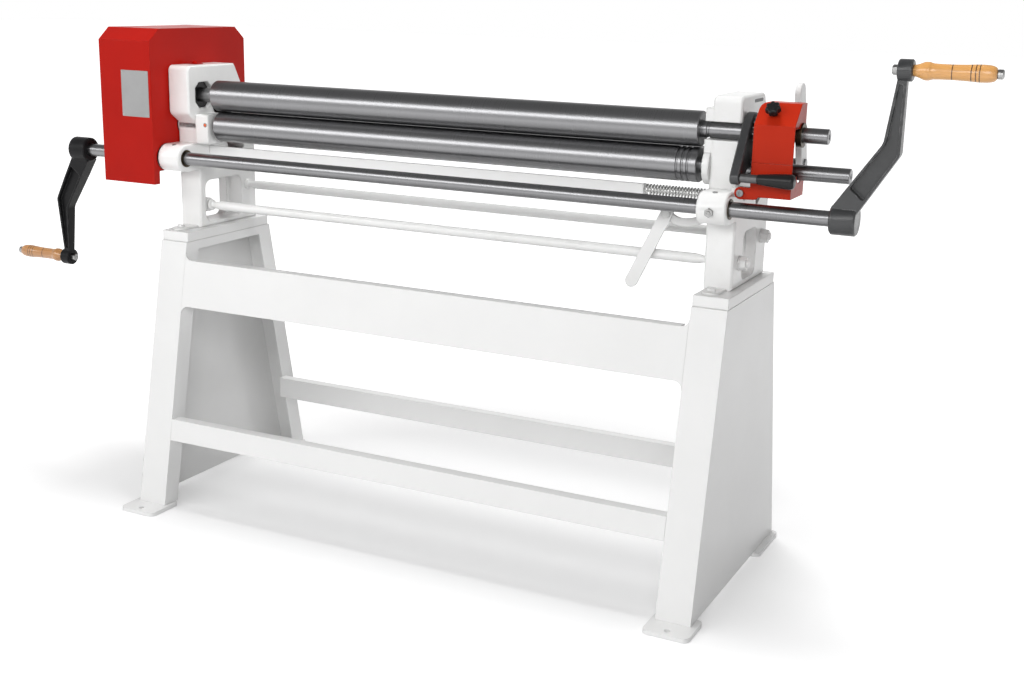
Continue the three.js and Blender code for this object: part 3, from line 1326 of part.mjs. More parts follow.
function buildRearLift() {
  add("right_slide", slide(rightFrameX + 1, rightFrameOuter - 1), castDark);
  add("left_slide", slide(leftFrameOuter + 1, leftFrameX - 1), castDark);
  const nose = onLift(0, liftNoseUp);
  const shaft = rod("x", liftShaft.x, liftShaft.y, liftShaftRadius, leftFrameOuter + 6, liftShaftEnd);
  const half = liftArmWidth / 2;
  const arm = (x0) => {
    const x1 = x0 + liftArmThickness;
    const outline = link(liftShaft.x, liftShaft.y, half, nose.x, nose.y, half - 0.01, 2);
    return join(
      prism("x", outline, x0, x1),
      rod("x", liftShaft.x, liftShaft.y, liftHubRadius, x0, x1),
      rod("x", nose.x, nose.y, liftNoseRadius, x0, x1),
    );
  };
  const arms = [arm(rightFrameX + 2 * wideGap), arm(leftFrameX - 2 * wideGap - liftArmThickness)];
  add("lift_shaft", join(shaft, ...arms), steel);
  const lean = liftLeverLean * deg;
  const up = new THREE.Vector2(-Math.sin(lean), Math.cos(lean));
  const tip = liftShaft.clone().addScaledVector(up, liftLeverLength);
  const x1 = liftShaftEnd - 4;
  const x0 = x1 - liftLeverThickness;
  const wide = liftLeverWidth / 2;
  const outline = link(liftShaft.x, liftShaft.y, wide + 3, tip.x, tip.y, wide);
  const bore = rod("x", liftShaft.x, liftShaft.y, liftShaftRadius + seatGap, x0 - 1, x1 + 1);
  add("lift_lever", prism("x", outline, x0, x1, { bevel: 2 }).subtract(bore), paint);
}

buildStand();
buildFrames();
buildTies();
buildRolls();
buildDrive();
buildLockArm();
buildRightGuards();
add("left_guard", leftGuard(), red);
buildShift();
buildRearLift();
console.log("spring: " + springTurns + " turns, least gap to itself " + springGap().toFixed(2) + " mm");

// The origin is the middle of the machine's outline on the floor.
const bounds = new THREE.Box3().setFromObject(group);
const middle = bounds.getCenter(new THREE.Vector3());
group.children.forEach((part) => part.geometry.translate(-middle.x, -middle.y, -bounds.min.z));

export default group;
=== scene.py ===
import bpy
import numpy as np
from math import cos, pi, radians, sin
from mathutils import Matrix, Vector


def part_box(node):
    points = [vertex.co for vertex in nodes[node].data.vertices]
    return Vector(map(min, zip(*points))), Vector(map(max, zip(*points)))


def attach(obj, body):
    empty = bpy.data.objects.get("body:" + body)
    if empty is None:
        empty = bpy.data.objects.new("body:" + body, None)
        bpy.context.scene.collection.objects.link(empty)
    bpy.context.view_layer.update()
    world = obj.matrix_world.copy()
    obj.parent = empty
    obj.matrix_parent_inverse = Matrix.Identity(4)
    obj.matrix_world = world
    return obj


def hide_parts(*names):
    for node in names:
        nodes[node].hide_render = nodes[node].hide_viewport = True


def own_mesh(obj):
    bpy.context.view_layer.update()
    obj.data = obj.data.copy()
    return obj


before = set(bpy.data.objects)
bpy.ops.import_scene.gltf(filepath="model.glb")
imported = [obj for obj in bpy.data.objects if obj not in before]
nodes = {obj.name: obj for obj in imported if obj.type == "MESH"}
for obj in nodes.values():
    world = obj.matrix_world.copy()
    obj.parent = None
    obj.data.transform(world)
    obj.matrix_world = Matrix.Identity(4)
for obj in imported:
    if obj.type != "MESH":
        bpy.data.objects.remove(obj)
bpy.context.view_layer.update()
print("frame loaded:", len(nodes), "solids")

# Places are written in millimetres: X from the middle of the rolls, Y from the top roll's axis and Z from
# the floor. The frame says where the top roll lies.
perMetre = 1000
topRollEnd = 902  # X of the right end of the top roll's stub
topRollLow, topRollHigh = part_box("top_roll")
rollsOrigin = np.array([topRollHigh.x * perMetre - topRollEnd,
                        (topRollLow.y + topRollHigh.y) / 2 * perMetre, 0])


def spot(x, y, z):  # a place in metres, in the model's own frame
    return (np.array([x, y, z]) + rollsOrigin) / perMetre


def unit(v):  # v over its own length
    v = np.asarray(v, float)
    return v / np.linalg.norm(v)


def sideways(axis):
    # Two unit vectors square to the axis: a = helper x axis, and b = axis x a. The helper is Z, or X where
    # the axis itself is nearly upright.
    axis = unit(axis)
    nearlyUpright = 0.9
    helper = np.array([0, 0, 1.0]) if abs(axis[2]) < nearlyUpright else np.array([1.0, 0, 0])
    a = unit(np.cross(helper, axis))
    return a, np.cross(axis, a)


def gridFaces(rows, columns, closedRows=False):
    # Quads (i, j), (i, j+1), (i+1, j+1), (i+1, j) of a grid whose columns wrap round, and its rows too where
    # they are closed.
    rowStarts = np.arange(rows if closedRows else rows - 1)
    i, j = np.meshgrid(rowStarts, np.arange(columns), indexing="ij")
    i, j = i.ravel(), j.ravel()
    above, beside = (i + 1) % rows, (j + 1) % columns
    quads = [i * columns + j, i * columns + beside, above * columns + beside, above * columns + j]
    return np.stack(quads, axis=1)


def signedVolume(points, faces):  # a sixth of the sum of p0 . (pk x pk+1) over each face's fan of triangles
    corners = points[faces]
    fans = [(corners[:, 0] * np.cross(corners[:, k], corners[:, k + 1])).sum()
            for k in range(1, faces.shape[1] - 1)]
    return sum(fans) / 6


def meshPiece(name, points, faceSets, along=None):
    # One object at the origin from points (n, 3) and arrays of faces, which are turned outwards where their
    # volume is negative. A UV for each point may come with them.
    points = points.reshape(-1, 3)
    if sum(signedVolume(points, faces) for faces in faceSets) < 0:
        faceSets = [faces[:, ::-1] for faces in faceSets]
    mesh = bpy.data.meshes.new(name)
    mesh.from_pydata(points.tolist(), [], [face for faces in faceSets for face in faces.tolist()])
    if along is not None:
        layer = mesh.uv_layers.new(name="UVMap")
        corner = np.zeros(len(mesh.loops), np.int32)
        mesh.loops.foreach_get("vertex_index", corner)
        layer.data.foreach_set("uv", along.reshape(-1, 2)[corner].astype(np.float32).ravel())
    mesh.update()
    piece = bpy.data.objects.new(name, mesh)
    bpy.context.scene.collection.objects.link(piece)
    return piece


def eased(profile, radius, steps=4):
    # Each inner corner c turns into the points c + r a (1 - t)^2 + r b t^2 for t from 0 to 1, where a and b
    # are the unit vectors back and on along the profile, and r is the radius or a share of the shorter side.
    profile = np.asarray(profile, float)
    sideShare = 0.45
    t = np.linspace(0, 1, steps + 1)[:, None]
    out = [profile[:1]]
    for before, corner, after in zip(profile[:-2], profile[1:-1], profile[2:]):
        back, on = before - corner, after - corner
        reach = min(radius, sideShare * np.linalg.norm(back), sideShare * np.linalg.norm(on))
        out.append(corner + reach * unit(back) * (1 - t) ** 2 + reach * unit(on) * t ** 2)
    return np.concatenate(out + [profile[-1:]])


def splined(points, steps=6):
    # A smooth curve through all the points, from p1 to p2 as t goes from 0 to 1:
    # p1 + (p2 - p0) t/2 + (2 p0 - 5 p1 + 4 p2 - p3) t^2/2 + (3 p1 - p0 - 3 p2 + p3) t^3/2.
    p = np.asarray(points, float)
    p = np.concatenate([2 * p[:1] - p[1:2], p, 2 * p[-1:] - p[-2:-1]])
    p0, p1, p2, p3 = (p[k:len(p) - 3 + k, None] for k in range(4))
    t = (np.arange(steps) / steps)[None, :, None]
    curve = p1 + (p2 - p0) * t / 2 + (2 * p0 - 5 * p1 + 4 * p2 - p3) * t ** 2 / 2 \
        + (3 * p1 - p0 - 3 * p2 + p3) * t ** 3 / 2
    return np.concatenate([curve.reshape(-1, p.shape[1]), p[-2:-1]])


def sixSided(w):  # a hexagon's radius: cos 30 over the cosine of the angle from the nearest flat's middle
    return cos(pi / 6) / np.cos((w + pi / 6) % (pi / 3) - pi / 6)


def sevenLobed(w):  # 0.9 + 0.1 cos 7w
    return 0.9 + 0.1 * np.cos(7 * w)


def turnedPiece(name, start, axis, profile, sides=96, section=np.ones_like, bored=False):
    # A profile carried round an axis:
    # P(s, w) = start + s axis + r (1 + f (section(w) - 1)) (a cos w + b sin w), for profile rows (s, r, f) in
    # millimetres, where f is how far the row takes the section's shape. A bored profile closes on itself, and
    # any other starts and ends at a pole on the axis. The UV map holds the share of the length and the share
    # of a turn.
    profile = np.asarray(profile, float)
    if profile.shape[1] == 2:
        profile = np.column_stack([profile, np.zeros(len(profile))])
    ring = profile if bored else profile[1:-1]
    s, r, f = ring[:, :1], ring[:, 1:2], ring[:, 2:]
    w = np.arange(sides) * 2 * pi / sides
    a, b = sideways(axis)
    radius = r * (1 + f * (section(w)[None] - 1))
    around = np.cos(w)[:, None] * a + np.sin(w)[:, None] * b
    points = start + (s[:, :, None] * unit(axis) + radius[:, :, None] * around[None]) / perMetre
    share = (s - profile[:, 0].min()) / np.ptp(profile[:, 0])
    turn = np.broadcast_to(w / (2 * pi), radius.shape)
    along = np.stack([np.broadcast_to(share, radius.shape), turn], axis=2).reshape(-1, 2)
    faces = [gridFaces(len(ring), sides, bored)]
    points = points.reshape(-1, 3)
    if not bored:
        poles = start + profile[[0, -1], :1] / perMetre * unit(axis)
        j, last = np.arange(sides), (len(ring) - 1) * sides
        faces.append(np.stack([np.full(sides, len(points)), (j + 1) % sides, j], axis=1))
        faces.append(np.stack([np.full(sides, len(points) + 1), last + j, last + (j + 1) % sides], axis=1))
        points = np.concatenate([points, poles])
        along = np.concatenate([along, [[share[0, 0], 0.5], [share[-1, 0], 0.5]]])
    return meshPiece(name, points, faces, along)


def platePiece(name, corner, across, up, size, thickness, rounding, edge):
    # A flat plate with round corners: quarter circles of the rounding about the four corner centres, and a
    # rim that goes from the back to the front through outlines moved in by e (1 - cos k) at the depth
    # T - e (1 - sin k). Its back lies a little under the surface that it sits on.
    cornerPoints, rimPoints, sunk = 7, 4, 0.2
    w = np.linspace(0, pi / 2, cornerPoints)
    far = np.array(size) - rounding
    centres = np.array([far, [rounding, far[1]], [rounding, rounding], [far[0], rounding]])
    turns = (w[None] + np.arange(4)[:, None] * pi / 2).ravel()
    direction = np.stack([np.cos(turns), np.sin(turns)], axis=1)
    centre = np.repeat(centres, len(w), axis=0)
    k = np.linspace(0, pi / 2, rimPoints)
    inset = np.concatenate([[0], edge * (1 - np.cos(k))])
    depth = np.concatenate([[-sunk], thickness - edge * (1 - np.sin(k))])
    flat = centre[None] + direction[None] * (rounding - inset)[:, None, None]
    normal = np.cross(unit(across), unit(up))
    points = corner + (flat[..., :1] * unit(across) + flat[..., 1:] * unit(up)
                       + depth[:, None, None] * normal) / perMetre
    count = len(direction)
    caps = np.stack([np.arange(count)[::-1], (len(depth) - 1) * count + np.arange(count)])
    return meshPiece(name, points, [gridFaces(len(depth), count), caps])


shading = {"mergeWithin": 0.00002, "sharpOver": 36}  # metres and degrees


def creaseGroup():
    # Merges the doubles, shades every face smooth, and keeps an edge sharp where its faces meet at more than
    # the angle that shading gives.
    tree = bpy.data.node_groups.new("creasedShading", "GeometryNodeTree")
    tree.interface.new_socket("Geometry", in_out="INPUT", socket_type="NodeSocketGeometry")
    tree.interface.new_socket("Geometry", in_out="OUTPUT", socket_type="NodeSocketGeometry")
    source, result = tree.nodes.new("NodeGroupInput"), tree.nodes.new("NodeGroupOutput")
    merge = tree.nodes.new("GeometryNodeMergeByDistance")
    merge.inputs["Distance"].default_value = shading["mergeWithin"]
    smooth = tree.nodes.new("GeometryNodeSetShadeSmooth")
    smooth.domain = "FACE"
    smooth.inputs["Shade Smooth"].default_value = True
    crease = tree.nodes.new("GeometryNodeSetShadeSmooth")
    crease.domain = "EDGE"
    crease.inputs["Shade Smooth"].default_value = False
    angle = tree.nodes.new("GeometryNodeInputMeshEdgeAngle")
    over = tree.nodes.new("FunctionNodeCompare")
    over.data_type, over.operation = "FLOAT", "GREATER_THAN"
    over.inputs[1].default_value = radians(shading["sharpOver"])
    for fromSocket, toSocket in [
            (source.outputs[0], merge.inputs[0]), (merge.outputs[0], smooth.inputs["Geometry"]),
            (smooth.outputs[0], crease.inputs["Geometry"]), (angle.outputs["Unsigned Angle"], over.inputs[0]),
            (over.outputs[0], crease.inputs["Selection"]), (crease.outputs[0], result.inputs[0])]:
        tree.links.new(fromSocket, toSocket)
    return tree


creased = creaseGroup()


def smoothShaded(piece):
    piece.modifiers.new("creased shading", "NODES").node_group = creased
    piece.modifiers.new("weighted normals", "WEIGHTED_NORMAL").keep_sharp = True


def finished(piece, material, body, slot, *replacedNodes):
    # Gives a new piece its material, shading and body, and hides the CAD nodes it stands for. The slot is not
    # used.
    piece.data.materials.append(materials[material])
    smoothShaded(piece)
    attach(piece, body)
    if replacedNodes:
        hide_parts(*replacedNodes)
    return piece


def nodeGroup(name, inputs, outputs):
    tree = bpy.data.node_groups.new(name, "ShaderNodeTree")
    for label, value in inputs:
        tree.interface.new_socket(label, in_out="INPUT", socket_type="NodeSocketFloat").default_value = value
    for label, kind in outputs:
        tree.interface.new_socket(label, in_out="OUTPUT", socket_type=kind)
    return tree, tree.nodes.new("NodeGroupInput"), tree.nodes.new("NodeGroupOutput")


def addNode(tree, kind, settings=None, **inputs):
    # A node with its settings and inputs: an input that is a socket is linked, and any other is set. An input
    # goes by its name, or by its number after an i.
    node = tree.nodes.new(kind)
    for key, value in (settings or {}).items():
        setattr(node, key, value)
    for key, value in inputs.items():
        numbered = key[0] == "i" and key[1:].isdigit()
        socket = node.inputs[int(key[1:])] if numbered else node.inputs[key.replace("_", " ")]
        if isinstance(value, bpy.types.NodeSocket):
            tree.links.new(value, socket)
        else:
            socket.default_value = value
    return node


def maths(tree, operation, a, b=0.5, clamp=False):
    return addNode(tree, "ShaderNodeMath", {"operation": operation, "use_clamp": clamp}, i0=a,
                   i1=b).outputs[0]


def remapped(tree, value, low, high, toLow=0.0, toHigh=1.0):
    node = addNode(tree, "ShaderNodeMapRange", {"clamp": True}, Value=value)
    for key, number in (("From Min", low), ("From Max", high), ("To Min", toLow), ("To Max", toHigh)):
        node.inputs[key].default_value = number
    return node.outputs[0]


def mixed(tree, share, a, b):
    return addNode(tree, "ShaderNodeMix", {"data_type": "RGBA"}, i0=share, i6=a, i7=b).outputs[2]


def noise(tree, place, **inputs):
    return addNode(tree, "ShaderNodeTexNoise", Vector=place, **inputs).outputs[0]


edgeWear = {"samples": 6, "turned": (0.02, 0.22), "detail": 3.0, "broken": (0.42, 0.62)}


def edgeGroup():
    # Rounded-edge normals, and a mask that is 1 where the rounded normal leaves the true one, broken up by
    # noise.
    tree, given, out = nodeGroup("edgeRounding", [("Radius", 0.001), ("Breakup", 40.0)],
                                 [("Normal", "NodeSocketVector"), ("Edge", "NodeSocketFloat")])
    bevel = addNode(tree, "ShaderNodeBevel", {"samples": edgeWear["samples"]}, Radius=given.outputs["Radius"])
    plain = addNode(tree, "ShaderNodeNewGeometry")
    dot = addNode(tree, "ShaderNodeVectorMath", {"operation": "DOT_PRODUCT"}, i0=bevel.outputs[0],
                  i1=plain.outputs["Normal"])
    place = addNode(tree, "ShaderNodeTexCoord").outputs["Object"]
    patches = noise(tree, place, Scale=given.outputs["Breakup"], Detail=edgeWear["detail"])
    turned = maths(tree, "SUBTRACT", 1.0, dot.outputs["Value"], True)
    edge = remapped(tree, turned, *edgeWear["turned"])
    broken = remapped(tree, patches, *edgeWear["broken"])
    tree.links.new(bevel.outputs[0], out.inputs["Normal"])
    tree.links.new(maths(tree, "MULTIPLY", edge, broken), out.inputs["Edge"])
    return tree


paintNoise = {"slow": {"Detail": 4.0, "Roughness": 0.6}, "peel": {"Detail": 2.0},
              "smudges": {"Detail": 6.0, "Roughness": 0.7, "Distortion": 0.6}, "smudgeScale": 6.0,
              "smudged": (0.45, 0.75)}


def mottleGroup():
    # Slow change of tone, fine orange-peel height and smudges, all three from noise of the object's own
    # coordinates.
    tree, given, out = nodeGroup("paintMottle", [("Patch Size", 4.0), ("Peel Size", 260.0)],
                                 [(label, "NodeSocketFloat") for label in ("Patches", "Peel", "Smudges")])
    place = addNode(tree, "ShaderNodeTexCoord").outputs["Object"]
    slow = noise(tree, place, Scale=given.outputs["Patch Size"], **paintNoise["slow"])
    peel = noise(tree, place, Scale=given.outputs["Peel Size"], **paintNoise["peel"])
    smudgeScale = maths(tree, "MULTIPLY", given.outputs["Patch Size"], paintNoise["smudgeScale"])
    smudges = noise(tree, place, Scale=smudgeScale, **paintNoise["smudges"])
    tree.links.new(slow, out.inputs["Patches"])
    tree.links.new(peel, out.inputs["Peel"])
    tree.links.new(remapped(tree, smudges, *paintNoise["smudged"]), out.inputs["Smudges"])
    return tree


metalNoise = {"marks": {"Scale": 1.0, "Detail": 3.0, "Roughness": 0.65}, "acrossPitch": 6.0,
              "bands": {"Scale": 1.0, "Detail": 4.0, "Roughness": 0.7}, "bandPitch": 60.0,
              "stains": {"Detail": 5.0, "Roughness": 0.6}}


def latheGroup():
    # Turning marks square to X: noise of X at a fine pitch and of Y and Z at a coarse one, wider bands of X
    # alone, and stains in all directions.
    tree, given, out = nodeGroup("latheMarks", [("Pitch", 900.0), ("Patch Size", 7.0)],
                                 [(label, "NodeSocketFloat") for label in ("Marks", "Bands", "Stains")])
    place = addNode(tree, "ShaderNodeTexCoord").outputs["Object"]
    split = addNode(tree, "ShaderNodeSeparateXYZ", Vector=place).outputs
    fine = addNode(tree, "ShaderNodeCombineXYZ",
                   X=maths(tree, "MULTIPLY", split["X"], given.outputs["Pitch"]),
                   Y=maths(tree, "MULTIPLY", split["Y"], metalNoise["acrossPitch"]),
                   Z=maths(tree, "MULTIPLY", split["Z"], metalNoise["acrossPitch"])).outputs[0]
    broad = addNode(tree, "ShaderNodeCombineXYZ",
                    X=maths(tree, "MULTIPLY", split["X"], metalNoise["bandPitch"])).outputs[0]
    tree.links.new(noise(tree, fine, **metalNoise["marks"]), out.inputs["Marks"])
    tree.links.new(noise(tree, broad, **metalNoise["bands"]), out.inputs["Bands"])
    stains = noise(tree, place, Scale=given.outputs["Patch Size"], **metalNoise["stains"])
    tree.links.new(stains, out.inputs["Stains"])
    return tree


woodNoise = {"figureStretch": (0.12, 1.0, 1.0), "poreStretch": (0.05, 1.0, 1.0),
             "figure": {"Detail": 5.0, "Roughness": 0.6, "Distortion": 1.2}, "pores": {"Detail": 2.0},
             "poreScale": 14.0, "pored": (0.55, 0.68)}


def grainGroup():
    # Wood figure along X: noise stretched along the grain, and finer pores on top of it.
    tree, given, out = nodeGroup("turnedWoodGrain", [("Scale", 60.0)],
                                 [(label, "NodeSocketFloat") for label in ("Figure", "Pores")])
    place = addNode(tree, "ShaderNodeTexCoord").outputs["Object"]
    stretched = addNode(tree, "ShaderNodeMapping", Vector=place, Scale=woodNoise["figureStretch"]).outputs[0]
    figure = noise(tree, stretched, Scale=given.outputs["Scale"], **woodNoise["figure"])
    fine = addNode(tree, "ShaderNodeMapping", Vector=place, Scale=woodNoise["poreStretch"]).outputs[0]
    poreScale = maths(tree, "MULTIPLY", given.outputs["Scale"], woodNoise["poreScale"])
    pores = noise(tree, fine, Scale=poreScale, **woodNoise["pores"])
    tree.links.new(figure, out.inputs["Figure"])
    tree.links.new(remapped(tree, pores, *woodNoise["pored"]), out.inputs["Pores"])
    return tree


edgeRounding = edgeGroup()
paintMottle = mottleGroup()
latheMarks = latheGroup()
turnedWoodGrain = grainGroup()


def placed(tree, group, **inputs):
    return addNode(tree, "ShaderNodeGroup", {"node_tree": group}, **inputs)


def newMaterial(name, **constants):
    # A material with one Principled shader; the constants go on its own sockets.
    material = bpy.data.materials.new(name)
    material.use_nodes = True
    shader = material.node_tree.nodes["Principled BSDF"]
    for key, value in constants.items():
        shader.inputs[key.replace("_", " ")].default_value = value
    return material, material.node_tree, shader


def bumped(tree, shader, height, strength, distance, **normal):
    bump = addNode(tree, "ShaderNodeBump", Height=height, Strength=strength, Distance=distance, **normal)
    tree.links.new(bump.outputs[0], shader.inputs["Normal"])


paintMixing = {"patches": (0.35, 0.65)}


def paintMaterial(name, look):
    # Gloss paint: slow change of tone, orange peel, and broken worn edges, on the crank also a painted
    # highlight.
    material, tree, shader = newMaterial(name, Coat_Weight=look["coat"], Coat_Roughness=look["coatRoughness"],
                                         Specular_IOR_Level=look["specular"])
    mottle = placed(tree, paintMottle, Patch_Size=look["patchSize"], Peel_Size=look["peelSize"]).outputs
    edges = placed(tree, edgeRounding, Radius=look["edgeRadius"], Breakup=look["breakup"]).outputs
    patches = remapped(tree, mottle["Patches"], *paintMixing["patches"])
    tone = mixed(tree, patches, look["colour"], look["shade"])
    edgeToned = mixed(tree, maths(tree, "MULTIPLY", edges["Edge"], look["edgeShare"]), tone, look["edgeColour"])
    tree.links.new(edgeToned, shader.inputs["Base Color"])
    rough = remapped(tree, mottle["Smudges"], 0.0, 1.0, *look["roughness"])
    tree.links.new(rough, shader.inputs["Roughness"])
    bumped(tree, shader, mottle["Peel"], look["peel"], look["peelDepth"], Normal=edges["Normal"])
    return material


# Colours are linear, and radii and depths are in metres.
paints = {
    "stand paint": {
        "colour": (0.85, 0.85, 0.845, 1), "shade": (0.82, 0.82, 0.815, 1),
        "edgeColour": (0.50, 0.49, 0.47, 1), "edgeShare": 0.3, "coat": 0.3, "coatRoughness": 0.15,
        "specular": 0.4, "roughness": (0.34, 0.44), "patchSize": 3.0, "peelSize": 240.0, "peel": 0.22,
        "peelDepth": 0.0004, "edgeRadius": 0.0014, "breakup": 45.0},
    "casting paint": {
        "colour": (0.85, 0.85, 0.845, 1), "shade": (0.81, 0.81, 0.80, 1),
        "edgeColour": (0.42, 0.41, 0.39, 1), "edgeShare": 0.35, "coat": 0.4, "coatRoughness": 0.12,
        "specular": 0.4, "roughness": (0.30, 0.44), "patchSize": 9.0, "peelSize": 150.0, "peel": 0.45,
        "peelDepth": 0.0008, "edgeRadius": 0.0050, "breakup": 60.0},
    # The guard's red is deeper than the hood's, in part as painted shade for the dimmer left end.
    "guard paint": {
        "colour": (0.43, 0.009, 0.0045, 1), "shade": (0.39, 0.008, 0.004, 1),
        "edgeColour": (0.62, 0.08, 0.05, 1), "edgeShare": 0.3, "coat": 0.02, "coatRoughness": 0.12,
        "specular": 0.10, "roughness": (0.28, 0.38), "patchSize": 5.0, "peelSize": 260.0, "peel": 0.22,
        "peelDepth": 0.0004, "edgeRadius": 0.0025, "breakup": 50.0},
    "hood paint": {
        "colour": (0.50, 0.026, 0.007, 1), "shade": (0.46, 0.022, 0.006, 1),
        "edgeColour": (0.66, 0.12, 0.06, 1), "edgeShare": 0.3, "coat": 0.04, "coatRoughness": 0.15,
        "specular": 0.12, "roughness": (0.30, 0.40), "patchSize": 5.0, "peelSize": 260.0, "peel": 0.22,
        "peelDepth": 0.0004, "edgeRadius": 0.0020, "breakup": 50.0},
    # The crank casting's pale edge colour is a painted highlight on its rims, with some wear.
    "crank casting": {
        "colour": (0.036, 0.037, 0.039, 1), "shade": (0.024, 0.025, 0.026, 1),
        "edgeColour": (0.30, 0.30, 0.30, 1), "edgeShare": 0.8, "coat": 0.2, "coatRoughness": 0.25,
        "specular": 0.45, "roughness": (0.34, 0.48), "patchSize": 14.0, "peelSize": 420.0, "peel": 0.5,
        "peelDepth": 0.0006, "edgeRadius": 0.0040, "breakup": 60.0},
    "black plastic": {
        "colour": (0.010, 0.010, 0.0105, 1), "shade": (0.007, 0.007, 0.0075, 1),
        "edgeColour": (0.05, 0.05, 0.05, 1), "edgeShare": 0.5, "coat": 0.08, "coatRoughness": 0.2,
        "specular": 0.22, "roughness": (0.30, 0.45), "patchSize": 20.0, "peelSize": 600.0, "peel": 0.3,
        "peelDepth": 0.0003, "edgeRadius": 0.0010, "breakup": 150.0},
    "orange plug": {
        "colour": (0.72, 0.12, 0.02, 1), "shade": (0.60, 0.08, 0.015, 1), "edgeColour": (0.8, 0.3, 0.1, 1),
        "edgeShare": 0.3, "coat": 0.3, "coatRoughness": 0.2, "specular": 0.5, "roughness": (0.35, 0.45),
        "patchSize": 40.0, "peelSize": 900.0, "peel": 0.2, "peelDepth": 0.0002, "edgeRadius": 0.0006,
        "breakup": 200.0},
}
# The left crank's copy of the crank casting, darkened as painted shade for its side turned from the light.
paints["crank casting in painted shade"] = {
    **paints["crank casting"], "colour": (0.012, 0.012, 0.013, 1), "shade": (0.008, 0.008, 0.0085, 1),
    "edgeColour": (0.07, 0.07, 0.07, 1), "coat": 0.0, "specular": 0.12}
materials = {name: paintMaterial(name, look) for name, look in paints.items()}


metalMixing = {"stains": (0.35, 0.7), "bands": (0.4, 0.62), "marks": (0.3, 0.7), "edgeShare": 0.6}


def metalMaterial(name, look):
    # Bare metal: base tone by stains and bands, roughness by turning marks, and brighter worn edges.
    material, tree, shader = newMaterial(name, Metallic=look["metallic"])
    lathe = placed(tree, latheMarks, Pitch=look["pitch"], Patch_Size=look["patchSize"]).outputs
    edges = placed(tree, edgeRounding, Radius=look["edgeRadius"], Breakup=look["breakup"]).outputs
    stains = remapped(tree, lathe["Stains"], *metalMixing["stains"])
    tone = mixed(tree, stains, look["colour"], look["stain"])
    bands = remapped(tree, lathe["Bands"], *metalMixing["bands"])
    bands = maths(tree, "MULTIPLY", bands, look["banding"])
    banded = mixed(tree, bands, tone, look["bandColour"])
    edgeToned = mixed(tree, maths(tree, "MULTIPLY", edges["Edge"], metalMixing["edgeShare"]), banded, look["bright"])
    tree.links.new(edgeToned, shader.inputs["Base Color"])
    rough = remapped(tree, lathe["Marks"], *metalMixing["marks"], *look["roughness"])
    tree.links.new(rough, shader.inputs["Roughness"])
    bumped(tree, shader, lathe["Marks"], look["bump"], look["depth"], Normal=edges["Normal"])
    return material


metals = {
    "ground steel": {
        "colour": (0.225, 0.225, 0.23, 1), "stain": (0.21, 0.21, 0.215, 1),
        "bandColour": (0.195, 0.195, 0.20, 1), "bright": (0.55, 0.55, 0.55, 1), "metallic": 1.0,
        "pitch": 1400.0, "patchSize": 3.0, "banding": 0.2, "roughness": (0.27, 0.30), "bump": 0.01,
        "depth": 0.00002, "edgeRadius": 0.0008, "breakup": 90.0},
    "machined steel": {
        "colour": (0.26, 0.26, 0.265, 1), "stain": (0.20, 0.20, 0.205, 1),
        "bandColour": (0.19, 0.19, 0.19, 1), "bright": (0.8, 0.8, 0.8, 1), "metallic": 1.0, "pitch": 900.0,
        "patchSize": 15.0, "banding": 0.4, "roughness": (0.28, 0.44), "bump": 0.2, "depth": 0.0001,
        "edgeRadius": 0.0008, "breakup": 120.0},
    "zinc plate": {
        "colour": (0.38, 0.38, 0.375, 1), "stain": (0.31, 0.31, 0.31, 1),
        "bandColour": (0.33, 0.33, 0.32, 1), "bright": (0.60, 0.60, 0.60, 1), "metallic": 1.0,
        "pitch": 500.0, "patchSize": 60.0, "banding": 0.3, "roughness": (0.25, 0.4), "bump": 0.15,
        "depth": 0.0001, "edgeRadius": 0.0008, "breakup": 150.0},
    # Bronze darkened far below its own tone as painted shade: the bushes stand for shaded gaps round the
    # stubs.
    "bronze": {
        "colour": (0.075, 0.058, 0.038, 1), "stain": (0.05, 0.04, 0.028, 1),
        "bandColour": (0.06, 0.046, 0.03, 1), "bright": (0.16, 0.12, 0.07, 1), "metallic": 1.0,
        "pitch": 700.0, "patchSize": 40.0, "banding": 0.4, "roughness": (0.3, 0.45), "bump": 0.2,
        "depth": 0.0001, "edgeRadius": 0.0008, "breakup": 120.0},
    "gear iron": {
        "colour": (0.13, 0.13, 0.135, 1), "stain": (0.07, 0.068, 0.065, 1),
        "bandColour": (0.10, 0.10, 0.10, 1), "bright": (0.50, 0.50, 0.50, 1), "metallic": 0.8,
        "pitch": 500.0, "patchSize": 30.0, "banding": 0.3, "roughness": (0.35, 0.55), "bump": 0.3,
        "depth": 0.0002, "edgeRadius": 0.0008, "breakup": 100.0},
    "plate metal": {
        "colour": (0.32, 0.32, 0.32, 1), "stain": (0.29, 0.29, 0.29, 1),
        "bandColour": (0.30, 0.30, 0.30, 1), "bright": (0.8, 0.8, 0.8, 1), "metallic": 0.6,
        "pitch": 1600.0, "patchSize": 25.0, "banding": 0.35, "roughness": (0.34, 0.46), "bump": 0.1,
        "depth": 0.00005, "edgeRadius": 0.0005, "breakup": 150.0},
}
metals["spring zinc"] = {
    **metals["zinc plate"], "colour": (0.62, 0.62, 0.61, 1), "stain": (0.54, 0.54, 0.53, 1)}
materials.update({name: metalMaterial(name, look) for name, look in metals.items()})


